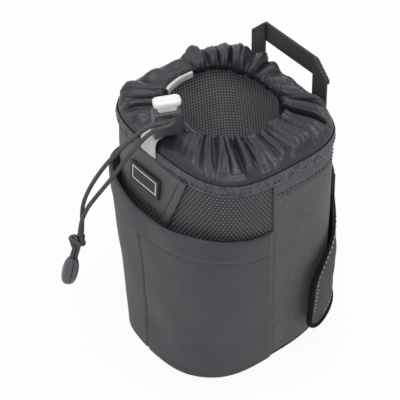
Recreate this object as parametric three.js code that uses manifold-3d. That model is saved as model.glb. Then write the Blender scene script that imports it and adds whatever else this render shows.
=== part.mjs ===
// Padded lens pouch with a gathered collar, stretch pocket, cord lock, carry handle and belt flap.
// Millimetres, +Z up, origin on the middle of the base; the front faces -Y and the back +Y.
import * as THREE from "three";
import { mergeVertices } from "three/addons/utils/BufferGeometryUtils.js";
import Module from "manifold-3d";

const wasm = await Module();
wasm.setup();

// Fit
const GAP = 0.3; // between two pieces that are sewn or pressed together

// Body
const BODY_HEIGHT = 184; // base to the top edge of the wall
const BASE_HALF_WIDTH = 56;
const BASE_FRONT_DEPTH = 59.5;
const BASE_BACK_DEPTH = 78;
const RIM_HALF_WIDTH = 69;
const RIM_FRONT_DEPTH = 58;
const RIM_BACK_DEPTH = 61.5;
const RIM_LEAN = 6; // the soft top leans this far to the right
const BASE_CORNER_POWER = 2.9; // squareness of the plan, 2 would be an ellipse
const RIM_CORNER_POWER = 3.4;
const STATIONS = 60; // points round the plan
const WALL_ROWS = 5; // bands up the wall

// Wall layers
const SHELL = 1.2;
const FOAM = 3.6;
const LINING = 0.8;
const BASE_PANEL = 2;
const FOAM_BASE = 4;
const BASE_INSET = 0.8; // base panel inside the wall's outer face

// Side and front panels
const SEAM_FROM_FRONT = 92; // along the rim, front centre to the side seam
const SEAM_SLANT = 16.5; // how much farther back the seam stands at the base
const SEAM_FADE = 50; // length behind the seam over which that slant dies out
const TOP_BAND = 14.5; // height of the band under the rim
const SHIELD_HEIGHT = 47;
const SHIELD_TOP_HALF = 38.5;
const SHIELD_BOTTOM_HALF = 22;
const SHIELD = 1;
const SHIELD_LEFT = 8; // shield's and label's middle to the left of the front's middle
const LABEL_WIDTH = 29;
const LABEL_HEIGHT = 16.5;
const LABEL = 2.4;
const LABEL_DROP = 13; // rim to the label's top edge

// Pocket
const POCKET_DROP = 45; // rim to the pocket's top edge at the middle and at the seams
const POCKET_RISE = 7.5; // how much higher the edge is over the front corners
const POCKET_STAND = 7; // how far the open top stands off the front panel
const POCKET_STAND_FROM = 36; // height where it starts to stand off
const POCKET = 1.2;
const HEM_HEIGHT = 20;
const HEM_PLY = 0.6;
const ELASTIC = 0.6;
const ELASTIC_HEIGHT = 16;

// Rim and collar
const RIM_BINDING = 3; // height of the binding over the wall's top edges
const COLLAR = 1.1;
const COLLAR_RISE = 13; // rim binding to the crest
const COLLAR_FOLDS = 24;
const COLLAR_FOLD_DEPTH = 1.1;
const COLLAR_COLUMNS = 96;
const MOUTH_HALF_WIDTH = 43;
const MOUTH_HALF_DEPTH = 37;
const MOUTH_BACK_SHIFT = 5;
const MOUTH_POWER = 2.6;
const MOUTH_BELOW_CREST = 2;
const TUNNEL_BORE = 4.4;
const TUNNEL_WALL = 1.2;
const TUNNEL_COLUMNS = 44;
const TUNNEL_MOUTH = 34; // opening at the front where the cord comes out
const CARE_LABEL_WIDTH = 29;
const CARE_LABEL_HEIGHT = 7;
const CARE_LABEL = 0.5;
const CARE_LABEL_FORWARD = 10; // towards the front from the middle of the left side

// Drawcord
const CORD = 3;
const CORD_SIDES = 8;
const KNOT_TURN = 3.3; // middle radius of a turn of the knot
const CORD_END_WIDTH = 10.5;
const CORD_END_HEIGHT = 23;
const CORD_END_DEPTH = 10.8; // both halves
const CORD_FACING = -25; // degrees that the cord end's face is turned from the front
const CORD_END_TILT = 14; // degrees that it leans over

// Cord lock, in its own frame: width on X, facing -Y, standing up Z
const LOCK_TURN = 66; // degrees the lock is twisted on its tab
const LOCK_BACK = 9; // rim's front edge to the lock's middle
const LOCK_RIGHT = 7; // lock's middle to the right of the front's middle
const LOCK_WIDTH = 20;
const LOCK_HEIGHT = 21;
const LOCK_DEPTH = 12;
const LOCK_CORNER = 4.5;
const LOCK_EDGE = 1.2;
const LOCK_ARCH = 1.6; // rise of the arched lower edge
const CAVITY_WIDTH = 13.6;
const CAVITY_DEPTH = 8.4;
const CAVITY_UP = 7.6; // lock's foot to the cavity's floor
const CORD_HOLE_WIDTH = 7.6;
const CORD_UP = 16.2; // lock's foot to the cords' middle
const CORD_SPACING = 3.5;
const PRESS = 2.5; // travel of the button
const PLUNGER_FOOT = 2; // plunger under its cord hole
const PLUNGER_SLACK = 0.3;
const BUTTON_WIDTH = 19;
const BUTTON_DEPTH = 9.4;
const BUTTON_CAP = 4.6;
const SPRING_WIRE = 0.5;
const SPRING_TURN = 3; // middle radius
const SPRING_CURLS = 3;
const TAB_WIDTH = 15;
const TAB = 1.2;

// Carry handle
const WEBBING = 2;
const HANDLE_HALF = 39.5;
const HANDLE_LEG = 14;
const HANDLE_RISE = 36.5; // hinge line to the top edge
const HANDLE_STRAP = 15;
const HANDLE_CHAMFER = 12;
const FOOT_HEIGHT = 18;
const HANDLE_CLEAR = 0.6; // handle to the collar

// Belt flap on the back
const FLAP_DROP = 34; // rim to the flap's top seam
const FLAP_BOTTOM = 18;
const FLAP_TOP_HALF = 40;
const FLAP_WING_HALF = 88;
const FLAP_WING_FLARE = 6; // how far the wings' tips stand off the sides
const FLAP_WING_FROM = 65; // the wing is full width up to here
const FLAP_WING_TO = 115; // and at its narrowest from here
const FLAP_CORNER = 16;
const FLAP = 2.4;
const PATCH = 1; // thickness of the hook and of the loop patch
const PATCH_HALF = 29;
const PATCH_BOTTOM = 26;
const PATCH_HEIGHT = 34;
const FLAP_LIFT = 14; // height over which the flap leaves its seam
const ANCHOR_HEIGHT = 11;
const ANCHOR = 1.2;
const PIPING_WIDTH = 3.2;
const PIPING_DEPTH = 5;

const TAPE_WIDTH = 11;
const TAPE = 0.7;

// Materials
const cloth = (color, roughness) => new THREE.MeshStandardMaterial({ color, roughness });
const TWILL = cloth(0x45464a, 0.85);
const MESH_CLOTH = cloth(0x37383b, 0.8);
const STRETCH = cloth(0x3c3d41, 0.8);
const NYLON = cloth(0x2b2c30, 0.5);
const DARK = cloth(0x1d1e20, 0.8);
const LINING_CLOTH = cloth(0x4a4b4f, 0.85);
const FOAM_GREY = cloth(0x6a6b6d, 0.95);
const WHITE_PLASTIC = cloth(0xe9e9e6, 0.35);
const BLACK_PLASTIC = cloth(0x18191b, 0.35);
const RUBBER = cloth(0x141416, 0.6);
const PALE_WEBBING = cloth(0xc3c4c6, 0.85);
const WHITE_CLOTH = cloth(0xf0f0ee, 0.8);
const STEEL = new THREE.MeshStandardMaterial({ color: 0xb9bcc0, roughness: 0.3, metalness: 1 });

const group = new THREE.Group();

function addPiece(name, geometry, material) {
  const mesh = new THREE.Mesh(geometry, material);
  mesh.name = name;
  group.add(mesh);
  return mesh;
}

// Plan of the body at a height
function planSize(z) {
  const t = Math.max(z / BODY_HEIGHT, 0);
  return {
    half: BASE_HALF_WIDTH + (RIM_HALF_WIDTH - BASE_HALF_WIDTH) * t ** 0.8,
    front: BASE_FRONT_DEPTH + (RIM_FRONT_DEPTH - BASE_FRONT_DEPTH) * t ** 3,
    back: BASE_BACK_DEPTH + (RIM_BACK_DEPTH - BASE_BACK_DEPTH) * t ** 1.5,
    lean: RIM_LEAN * t ** 1.4,
    power: BASE_CORNER_POWER + (RIM_CORNER_POWER - BASE_CORNER_POWER) * t,
  };
}

function superellipse(angle, power, half, front, back) {
  const across = Math.sin(angle);
  const along = Math.cos(angle);
  const x = half * Math.sign(across) * Math.abs(across) ** (2 / power);
  const reach = along > 0 ? front : back;
  return new THREE.Vector2(x, -reach * Math.sign(along) * Math.abs(along) ** (2 / power));
}

function planPoint(angle, z) {
  const size = planSize(z);
  const flat = superellipse(angle, size.power, size.half, size.front, size.back);
  return flat.add(new THREE.Vector2(size.lean, 0));
}

// Angles that split a closed plan into equal lengths, and its girth
function evenAngles(pointAt, count) {
  const fine = 2880;
  const lengths = [0];
  for (let i = 1; i <= fine; i++) {
    const a = pointAt((2 * Math.PI * (i - 1)) / fine);
    const b = pointAt((2 * Math.PI * i) / fine);
    lengths.push(lengths[i - 1] + a.distanceTo(b));
  }
  const girth = lengths[fine];
  const angles = [];
  let i = 0;
  for (let k = 0; k < count; k++) {
    const wanted = (girth * k) / count;
    while (lengths[i + 1] < wanted) i++;
    const part = (wanted - lengths[i]) / (lengths[i + 1] - lengths[i]);
    angles.push((2 * Math.PI * (i + part)) / fine);
  }
  return { angles, girth };
}

const body = evenAngles((a) => planPoint(a, BODY_HEIGHT / 2), STATIONS);
const GIRTH = body.girth;
const STATION_STEP = GIRTH / STATIONS;
const ROW_STEP = BODY_HEIGHT / WALL_ROWS;

// Outward normals of a closed run of plan points
function planNormals(points) {
  return points.map((p, i) => {
    const before = points[(i + points.length - 1) % points.length];
    const after = points[(i + 1) % points.length];
    const along = after.clone().sub(before).normalize();
    return new THREE.Vector2(along.y, -along.x);
  });
}

// How far back a station stands at a height, most at the foot of the side seams
function stationSlant(s, z) {
  const side = s < GIRTH / 2 ? 1 : -1;
  const run = side > 0 ? s : GIRTH - s;
  const before = Math.sin((Math.PI / 2) * Math.min(run / SEAM_FROM_FRONT, 1));
  const behind = Math.cos((Math.PI / 2) * Math.min(Math.max(run - SEAM_FROM_FRONT, 0) / SEAM_FADE, 1));
  return side * SEAM_SLANT * before * behind ** 2 * (1 - z / BODY_HEIGHT);
}

function angleAtRun(s) {
  const angles = [...body.angles, 2 * Math.PI];
  const i = Math.floor(s / STATION_STEP);
  return angles[i] + (angles[i + 1] - angles[i]) * (s / STATION_STEP - i);
}

const wallRows = [];
for (let r = 0; r <= WALL_ROWS; r++) {
  const z = r * ROW_STEP;
  const points = body.angles.map((_, k) => {
    const s = k * STATION_STEP;
    return planPoint(angleAtRun(s + stationSlant(s, z)), z);
  });
  wallRows.push({ points, normals: planNormals(points) });
}

// Point on the wall: s along it from the front centre towards +X, off outwards from its outer face
function wallPoint(s, z, off) {
  const u = (((s % GIRTH) + GIRTH) % GIRTH) / STATION_STEP;
  const i = Math.floor(u) % STATIONS;
  const j = (i + 1) % STATIONS;
  const r = Math.min(Math.max(Math.floor(z / ROW_STEP), 0), WALL_ROWS - 1);
  const onRow = (row) => {
    const a = row.points[i].clone().addScaledVector(row.normals[i], off);
    const b = row.points[j].clone().addScaledVector(row.normals[j], off);
    return a.lerp(b, u - Math.floor(u));
  };
  const flat = onRow(wallRows[r]).lerp(onRow(wallRows[r + 1]), z / ROW_STEP - r);
  return new THREE.Vector3(flat.x, flat.y, z);
}

// Run along the wall that reaches a true distance from the middle of the front or back at a height
function runFor(distance, z) {
  return (distance * planSize(BODY_HEIGHT / 2).half) / planSize(z).half;
}

// Even marks between two values, with the two ends
function marks(from, to, step) {
  const list = [from];
  for (let k = Math.ceil((from + step / 5) / step); k * step < to - step / 5; k++) list.push(k * step);
  list.push(to);
  return list;
}

function fractions(count) {
  return Array.from({ length: count + 1 }, (_, k) => k / count);
}

// Closed solid between two grids of points; loop joins the last column to the first
function solidSheet(outer, inner, loop) {
  const rows = outer.length;
  const cols = outer[0].length;
  const positions = [];
  for (const side of [outer, inner]) {
    for (const row of side) {
      for (const p of row) positions.push(p.x, p.y, p.z);
    }
  }
  const index = [];
  const at = (side, r, c) => (side * rows + r) * cols + (c % cols);
  const quad = (a, b, c, d) => index.push(a, b, c, a, c, d);
  const last = loop ? cols : cols - 1;
  for (let c = 0; c < last; c++) {
    for (let r = 0; r < rows - 1; r++) {
      quad(at(0, r, c), at(0, r, c + 1), at(0, r + 1, c + 1), at(0, r + 1, c));
      quad(at(1, r, c), at(1, r + 1, c), at(1, r + 1, c + 1), at(1, r, c + 1));
    }
    quad(at(0, 0, c + 1), at(0, 0, c), at(1, 0, c), at(1, 0, c + 1));
    quad(at(0, rows - 1, c), at(0, rows - 1, c + 1), at(1, rows - 1, c + 1), at(1, rows - 1, c));
  }
  for (let r = 0; r < rows - 1 && !loop; r++) {
    const end = cols - 1;
    quad(at(0, r, 0), at(0, r + 1, 0), at(1, r + 1, 0), at(1, r, 0));
    quad(at(0, r, end), at(1, r, end), at(1, r + 1, end), at(0, r + 1, end));
  }
  return facingOut(positions, index);
}

// Geometry whose faces point outwards
function facingOut(positions, index) {
  const p = (k) => new THREE.Vector3().fromArray(positions, index[k] * 3);
  let volume = 0;
  for (let t = 0; t < index.length; t += 3) volume += p(t).dot(p(t + 1).cross(p(t + 2)));
  if (volume < 0) {
    for (let t = 0; t < index.length; t += 3) [index[t + 1], index[t + 2]] = [index[t + 2], index[t + 1]];
  }
  const geometry = new THREE.BufferGeometry();
  geometry.setAttribute("position", new THREE.Float32BufferAttribute(positions, 3));
  geometry.setIndex(index);
  geometry.computeVertexNormals();
  return geometry;
}

// Closed solid through rounded or square sections, one after another, with flat ends
function solidSweep(sections) {
  const sides = sections[0].length;
  const positions = sections.flat().flatMap((p) => [p.x, p.y, p.z]);
  const index = [];
  for (let k = 0; k < sections.length - 1; k++) {
    for (let i = 0; i < sides; i++) {
      const a = k * sides + i;
      const b = k * sides + ((i + 1) % sides);
      index.push(a, b, b + sides, a, b + sides, a + sides);
    }
  }
  const end = (sections.length - 1) * sides;
  for (let i = 1; i < sides - 1; i++) index.push(0, i + 1, i, end, end + i, end + i + 1);
  return facingOut(positions, index);
}

// Piece of the wall between two runs, two heights and two offsets
function wallPatch(from, to, bottom, top, inner, outer) {
  const cols = marks(from, to, STATION_STEP);
  const rows = marks(bottom, top, ROW_STEP);
  const grid = (off) => rows.map((z) => cols.map((s) => wallPoint(s, z, off)));
  return solidSheet(grid(outer), grid(inner), false);
}

// Ring of the wall all the way round
function wallRing(bottom, top, inner, outer) {
  const rows = marks(bottom, top, ROW_STEP);
  const cols = body.angles.map((_, k) => k * STATION_STEP);
  const grid = (off) => rows.map((z) => cols.map((s) => wallPoint(s, z, off)));
  return solidSheet(grid(outer), grid(inner), true);
}

// Flat plate with the body's plan
function planPlate(bottom, thickness, off) {
  const outline = body.angles.map((_, k) => {
    const p = wallPoint(k * STATION_STEP, bottom, off);
    return new THREE.Vector2(p.x, p.y);
  });
  const plate = new THREE.ExtrudeGeometry(new THREE.Shape(outline), { depth: thickness, bevelEnabled: false });
  return plate.translate(0, 0, bottom);
}

function toManifold(geometry) {
  const plain = geometry.index ? geometry.clone() : geometry;
  plain.deleteAttribute("normal");
  plain.deleteAttribute("uv");
  const merged = mergeVertices(plain, 1e-4);
  return new wasm.Manifold(
    new wasm.Mesh({
      numProp: 3,
      vertProperties: new Float32Array(merged.attributes.position.array),
      triVerts: new Uint32Array(merged.index.array),
    }),
  );
}

function fromManifold(solid) {
  const mesh = solid.getMesh();
  return facingOut(Array.from(mesh.vertProperties), Array.from(mesh.triVerts));
}

function joined(geometries) {
  return fromManifold(geometries.map(toManifold).reduce((a, b) => a.add(b)));
}

function cutFrom(geometry, cutters) {
  return fromManifold(cutters.map(toManifold).reduce((a, b) => a.subtract(b), toManifold(geometry)));
}

function roundedRect(width, height, radius) {
  const w = width / 2;
  const h = height / 2;
  const shape = new THREE.Shape();
  shape.moveTo(-w + radius, -h);
  shape.lineTo(w - radius, -h);
  shape.absarc(w - radius, -h + radius, radius, -Math.PI / 2, 0, false);
  shape.lineTo(w, h - radius);
  shape.absarc(w - radius, h - radius, radius, 0, Math.PI / 2, false);
  shape.lineTo(-w + radius, h);
  shape.absarc(-w + radius, h - radius, radius, Math.PI / 2, Math.PI, false);
  shape.lineTo(-w, -h + radius);
  shape.absarc(-w + radius, -h + radius, radius, Math.PI, 1.5 * Math.PI, false);
  return shape;
}

// Shape drawn in X and Z, extruded in Y about its middle, with rounded edges
function frontExtrude(shape, depth, edge, curveSegments) {
  const solid = new THREE.ExtrudeGeometry(shape, {
    depth: depth - 2 * edge,
    bevelEnabled: edge > 0,
    bevelThickness: edge,
    bevelSize: edge,
    bevelOffset: -edge,
    bevelSegments: 2,
    curveSegments,
  });
  return solid.translate(0, 0, -(depth - 2 * edge) / 2).rotateX(Math.PI / 2);
}

// Shape drawn in X and Y, extruded up Z, with rounded edges
function upExtrude(shape, height, edge, curveSegments) {
  const solid = new THREE.ExtrudeGeometry(shape, {
    depth: height - 2 * edge,
    bevelEnabled: edge > 0,
    bevelThickness: edge,
    bevelSize: edge,
    bevelOffset: -edge,
    bevelSegments: 2,
    curveSegments,
  });
  return solid.translate(0, 0, edge);
}

function boxAt(width, depth, height, x, y, bottom) {
  return new THREE.BoxGeometry(width, depth, height).translate(x, y, bottom + height / 2);
}

// Base and padding
const WALL_FOOT = BASE_PANEL + GAP;
const FOAM_OUT = -SHELL - GAP;
const FOAM_IN = FOAM_OUT - FOAM;
const LINING_OUT = FOAM_IN - GAP;
const LINING_IN = LINING_OUT - LINING;
const LINING_FLOOR = WALL_FOOT + FOAM_BASE + GAP;
addPiece("base_panel", planPlate(0, BASE_PANEL, -BASE_INSET), DARK);
addPiece("foam_wall", wallRing(WALL_FOOT, BODY_HEIGHT, FOAM_IN, FOAM_OUT), FOAM_GREY);
addPiece("foam_base", planPlate(WALL_FOOT, FOAM_BASE, FOAM_IN - GAP), FOAM_GREY);
addPiece("lining_wall", wallRing(LINING_FLOOR, BODY_HEIGHT, LINING_IN, LINING_OUT), LINING_CLOTH);
addPiece("lining_base", planPlate(LINING_FLOOR, LINING, LINING_IN - GAP), LINING_CLOTH);
const TAPE_FOOT = LINING_FLOOR + LINING + GAP;
const BACK = GIRTH / 2;
addPiece(
  "lining_seam_tape",
  wallPatch(
    BACK - TAPE_WIDTH / 2,
    BACK + TAPE_WIDTH / 2,
    TAPE_FOOT,
    BODY_HEIGHT,
    LINING_IN - GAP - TAPE,
    LINING_IN - GAP,
  ),
  DARK,
);

// Outer panels
const SEAM_IN = SEAM_FROM_FRONT - GAP / 2;
const SEAM_OUT = SEAM_FROM_FRONT + GAP / 2;
const BAND_FOOT = BODY_HEIGHT - TOP_BAND;
addPiece("front_panel", wallPatch(-SEAM_IN, SEAM_IN, WALL_FOOT, BODY_HEIGHT, -SHELL, 0), MESH_CLOTH);
addPiece("side_wall", wallPatch(SEAM_OUT, GIRTH - SEAM_OUT, WALL_FOOT, BAND_FOOT - GAP, -SHELL, 0), TWILL);
addPiece("side_top_band", wallPatch(SEAM_OUT, GIRTH - SEAM_OUT, BAND_FOOT, BODY_HEIGHT, -SHELL, 0), TWILL);

const SHIELD_FOOT = BODY_HEIGHT - SHIELD_HEIGHT;
function shieldGrid(off) {
  return fractions(4).map((v) => {
    const half = SHIELD_BOTTOM_HALF + (SHIELD_TOP_HALF - SHIELD_BOTTOM_HALF) * v;
    const z = SHIELD_FOOT + SHIELD_HEIGHT * v;
    return fractions(16).map((u) => wallPoint(runFor((2 * u - 1) * half - SHIELD_LEFT, z), z, off));
  });
}
addPiece("front_shield", solidSheet(shieldGrid(GAP + SHIELD), shieldGrid(GAP), false), DARK);
const LABEL_SEAT = GAP + SHIELD + GAP;
const LABEL_TOP = BODY_HEIGHT - LABEL_DROP;
addPiece(
  "label_patch",
  wallPatch(
    runFor(-SHIELD_LEFT - LABEL_WIDTH / 2, LABEL_TOP),
    runFor(-SHIELD_LEFT + LABEL_WIDTH / 2, LABEL_TOP),
    LABEL_TOP - LABEL_HEIGHT,
    LABEL_TOP,
    LABEL_SEAT,
    LABEL_SEAT + LABEL,
  ),
  RUBBER,
);

// Pocket
const POCKET_TOP = BODY_HEIGHT - POCKET_DROP;
function pocketTop(s) {
  return POCKET_TOP + POCKET_RISE * Math.sin((Math.PI * s) / SEAM_FROM_FRONT) ** 2;
}
function pocketStand(s, z) {
  const across = Math.cos(((Math.PI / 2) * s) / SEAM_FROM_FRONT);
  const up = Math.max(z - POCKET_STAND_FROM, 0) / (POCKET_TOP - POCKET_STAND_FROM);
  return GAP + POCKET_STAND * across * up;
}
const pocketColumns = marks(-SEAM_IN, SEAM_IN, STATION_STEP);
function pocketRow(height, off) {
  return pocketColumns.map((s) => {
    const z = height(s);
    return wallPoint(s, z, pocketStand(s, z) + off);
  });
}
const hemFoot = (s) => pocketTop(s) - HEM_HEIGHT;
const HEM_SLOT = ELASTIC + 2 * GAP;
const HEM = HEM_SLOT + 2 * HEM_PLY;
const pocketHeights = fractions(5).map((v) => (s) => WALL_FOOT + (hemFoot(s) - GAP - WALL_FOOT) * v);
const pocketFace = (off) =>
  pocketHeights.map((height, r) => pocketRow(height, off + (HEM - POCKET) * (r / (pocketHeights.length - 1)) ** 2));
addPiece("pocket_panel", solidSheet(pocketFace(POCKET), pocketFace(0), false), STRETCH);
const underTop = (s) => pocketTop(s) - HEM_PLY;
addPiece(
  "pocket_hem",
  solidSheet(
    [pocketRow(hemFoot, HEM), pocketRow(pocketTop, HEM), pocketRow(pocketTop, 0), pocketRow(hemFoot, 0)],
    [
      pocketRow(hemFoot, HEM - HEM_PLY),
      pocketRow(underTop, HEM - HEM_PLY),
      pocketRow(underTop, HEM_PLY),
      pocketRow(hemFoot, HEM_PLY),
    ],
    false,
  ),
  STRETCH,
);
const elasticTop = (s) => underTop(s) - GAP;
const elasticFoot = (s) => elasticTop(s) - ELASTIC_HEIGHT;
addPiece(
  "pocket_elastic",
  solidSheet(
    [pocketRow(elasticFoot, HEM_PLY + GAP + ELASTIC), pocketRow(elasticTop, HEM_PLY + GAP + ELASTIC)],
    [pocketRow(elasticFoot, HEM_PLY + GAP), pocketRow(elasticTop, HEM_PLY + GAP)],
    false,
  ),
  DARK,
);

// Rim binding and gathered collar
const BINDING_FOOT = BODY_HEIGHT + GAP;
const BINDING_TOP = BINDING_FOOT + RIM_BINDING;
addPiece("rim_binding", wallRing(BINDING_FOOT, BINDING_TOP, LINING_IN, 0), NYLON);

const COLLAR_FOOT = BINDING_TOP + GAP;
const CREST = COLLAR_FOOT + COLLAR_RISE;
const MOUTH_HEIGHT = CREST - MOUTH_BELOW_CREST;
const TUNNEL_RADIUS = TUNNEL_BORE / 2 + TUNNEL_WALL;
function mouthPlan(angle) {
  const flat = superellipse(angle, MOUTH_POWER, MOUTH_HALF_WIDTH, MOUTH_HALF_DEPTH, MOUTH_HALF_DEPTH);
  return flat.add(new THREE.Vector2(0, MOUTH_BACK_SHIFT));
}
const mouth = evenAngles(mouthPlan, COLLAR_COLUMNS);

// Outer face of the collar in one column, from its foot to the tunnel: distance in from the foot, height
function collarProfile(run, fold) {
  const end = run - TUNNEL_RADIUS - GAP - COLLAR;
  const shape = [
    [0, COLLAR_FOOT, 0],
    [-1.4, COLLAR_FOOT + 0.4 * COLLAR_RISE, 0.1],
    [-0.8, COLLAR_FOOT + 0.75 * COLLAR_RISE, 0.3],
    [2.2, CREST - 0.6, 0.7],
    [0.3 * run, CREST, 1],
    [0.55 * run, CREST - 0.15 * MOUTH_BELOW_CREST, 1],
    [end, MOUTH_HEIGHT + COLLAR / 2, 0.5],
  ];
  return shape.map(([x, z, share]) => new THREE.Vector2(x, z + fold * share));
}
function collarColumn(k, inner) {
  const s = (GIRTH * k) / COLLAR_COLUMNS;
  const foot = wallPoint(s, BODY_HEIGHT, -SHELL);
  const lip = mouthPlan(mouth.angles[k]);
  const inwards = new THREE.Vector2(lip.x - foot.x, lip.y - foot.y);
  const run = inwards.length();
  inwards.normalize();
  const fold = COLLAR_FOLD_DEPTH * Math.cos((2 * Math.PI * COLLAR_FOLDS * k) / COLLAR_COLUMNS);
  const profile = collarProfile(run, fold);
  return profile.map((p, i) => {
    const before = profile[Math.max(i - 1, 0)];
    const after = profile[Math.min(i + 1, profile.length - 1)];
    const along = after.clone().sub(before).normalize();
    const depth = inner ? COLLAR : 0;
    const x = p.x + along.y * depth;
    const z = i === 0 ? p.y : p.y - along.x * depth;
    return new THREE.Vector3(foot.x + inwards.x * x, foot.y + inwards.y * x, z);
  });
}
function collarGrid(inner) {
  const columns = mouth.angles.map((_, k) => collarColumn(k, inner));
  return columns[0].map((_, r) => columns.map((column) => column[r]));
}
addPiece("collar", solidSheet(collarGrid(false), collarGrid(true), true), NYLON);

// Tunnel round the mouth, open at the front where the cord comes out
function mouthAt(length) {
  const u = (((length % mouth.girth) + mouth.girth) % mouth.girth) / (mouth.girth / COLLAR_COLUMNS);
  const i = Math.floor(u) % COLLAR_COLUMNS;
  const a = mouthPlan(mouth.angles[i]);
  const b = mouthPlan(mouth.angles[(i + 1) % COLLAR_COLUMNS]);
  const flat = a.lerp(b, u - Math.floor(u));
  return new THREE.Vector3(flat.x, flat.y, MOUTH_HEIGHT);
}
const TUNNEL_FROM = TUNNEL_MOUTH / 2;
const TUNNEL_LENGTH = mouth.girth - TUNNEL_MOUTH;
function tunnelRing(length, radius) {
  const middle = mouthAt(length);
  const along = mouthAt(length + 2).sub(mouthAt(length - 2)).normalize();
  const out = new THREE.Vector3(along.y, -along.x, 0);
  return fractions(8).slice(0, 8).map((u) => {
    const a = 2 * Math.PI * u;
    const up = new THREE.Vector3(0, 0, radius * Math.sin(a));
    return middle.clone().addScaledVector(out, radius * Math.cos(a)).add(up);
  });
}
const tunnelStops = fractions(TUNNEL_COLUMNS).map((u) => TUNNEL_FROM + TUNNEL_LENGTH * u);
addPiece(
  "collar_hem",
  solidSheet(
    tunnelStops.map((length) => tunnelRing(length, TUNNEL_RADIUS)),
    tunnelStops.map((length) => tunnelRing(length, TUNNEL_BORE / 2)),
    true,
  ),
  NYLON,
);

// Care label hanging inside the tunnel on the left
function careGrid(off) {
  const inwards = TUNNEL_RADIUS + GAP + off;
  return [MOUTH_HEIGHT - CARE_LABEL_HEIGHT, MOUTH_HEIGHT].map((z) =>
    fractions(8).map((u) => {
      const length = 0.75 * mouth.girth + CARE_LABEL_FORWARD + CARE_LABEL_WIDTH * (u - 0.5);
      const along = mouthAt(length + 2).sub(mouthAt(length - 2)).normalize();
      const p = mouthAt(length);
      return new THREE.Vector3(p.x - along.y * inwards, p.y + along.x * inwards, z);
    }),
  );
}
addPiece("care_label", solidSheet(careGrid(0), careGrid(CARE_LABEL), false), WHITE_CLOTH);

// Cord lock
const rimFront = wallPoint(0, BODY_HEIGHT, 0);
const TAB_LEVEL = CREST + COLLAR_FOLD_DEPTH + GAP + TAB / 2;
const LOCK_FOOT = TAB_LEVEL + TAB / 2 + GAP;
const LOCK_CENTRE = new THREE.Vector3(LOCK_RIGHT, rimFront.y + LOCK_BACK, LOCK_FOOT);
const lockTurn = THREE.MathUtils.degToRad(LOCK_TURN);
const placeLock = (solid) => solid.rotateZ(lockTurn).translate(LOCK_CENTRE.x, LOCK_CENTRE.y, LOCK_CENTRE.z);
const lockPoint = (x, y, z) => {
  const local = new THREE.Vector3(x, y, z);
  return local.applyAxisAngle(new THREE.Vector3(0, 0, 1), lockTurn).add(LOCK_CENTRE);
};

const lockFace = new THREE.Shape();
lockFace.moveTo(-LOCK_WIDTH / 2 + 1, 0);
lockFace.quadraticCurveTo(0, 2 * LOCK_ARCH, LOCK_WIDTH / 2 - 1, 0);
lockFace.lineTo(LOCK_WIDTH / 2, 1);
lockFace.lineTo(LOCK_WIDTH / 2, LOCK_HEIGHT - LOCK_CORNER);
lockFace.absarc(LOCK_WIDTH / 2 - LOCK_CORNER, LOCK_HEIGHT - LOCK_CORNER, LOCK_CORNER, 0, Math.PI / 2, false);
lockFace.lineTo(-LOCK_WIDTH / 2 + LOCK_CORNER, LOCK_HEIGHT);
lockFace.absarc(-LOCK_WIDTH / 2 + LOCK_CORNER, LOCK_HEIGHT - LOCK_CORNER, LOCK_CORNER, Math.PI / 2, Math.PI, false);
lockFace.lineTo(-LOCK_WIDTH / 2, 1);

const CORD_RADIUS = CORD / 2;
const HOLE_TOP = CORD_UP + CORD_RADIUS + GAP;
const HOLE_FOOT = CORD_UP - CORD_RADIUS - PRESS - 2 * GAP;
const PLUNGER_HOLE_FOOT = CORD_UP - CORD_RADIUS - GAP;
const PLUNGER_HOLE_TOP = CORD_UP + CORD_RADIUS + PRESS + 2 * GAP;
const PLUNGER_BOTTOM = PLUNGER_HOLE_FOOT - PLUNGER_FOOT;
const CAP_FOOT = LOCK_HEIGHT + PRESS + 2 * GAP;
const PLUNGER_WIDTH = CAVITY_WIDTH - 2 * PLUNGER_SLACK;
const PLUNGER_DEPTH = CAVITY_DEPTH - 2 * PLUNGER_SLACK;

const cavity = upExtrude(roundedRect(CAVITY_WIDTH, CAVITY_DEPTH, 2), LOCK_HEIGHT, 0, 4).translate(0, 0, CAVITY_UP);
const cordHole = boxAt(CORD_HOLE_WIDTH, 2 * LOCK_DEPTH, HOLE_TOP - HOLE_FOOT, 0, 0, HOLE_FOOT);
const housing = frontExtrude(lockFace, LOCK_DEPTH, LOCK_EDGE, 5);
addPiece("cord_lock_housing", placeLock(cutFrom(housing, [cavity, cordHole])), BLACK_PLASTIC);

const stem = upExtrude(roundedRect(PLUNGER_WIDTH, PLUNGER_DEPTH, 1.8), CAP_FOOT + 1 - PLUNGER_BOTTOM, 0, 4);
stem.translate(0, 0, PLUNGER_BOTTOM);
const cap = upExtrude(roundedRect(BUTTON_WIDTH, BUTTON_DEPTH, 3.2), BUTTON_CAP, 1, 5).translate(0, 0, CAP_FOOT);
const plungerHole = boxAt(
  CORD_HOLE_WIDTH,
  2 * LOCK_DEPTH,
  PLUNGER_HOLE_TOP - PLUNGER_HOLE_FOOT,
  0,
  0,
  PLUNGER_HOLE_FOOT,
);
addPiece("cord_lock_button", placeLock(cutFrom(joined([stem, cap]), [plungerHole])), WHITE_PLASTIC);

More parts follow.
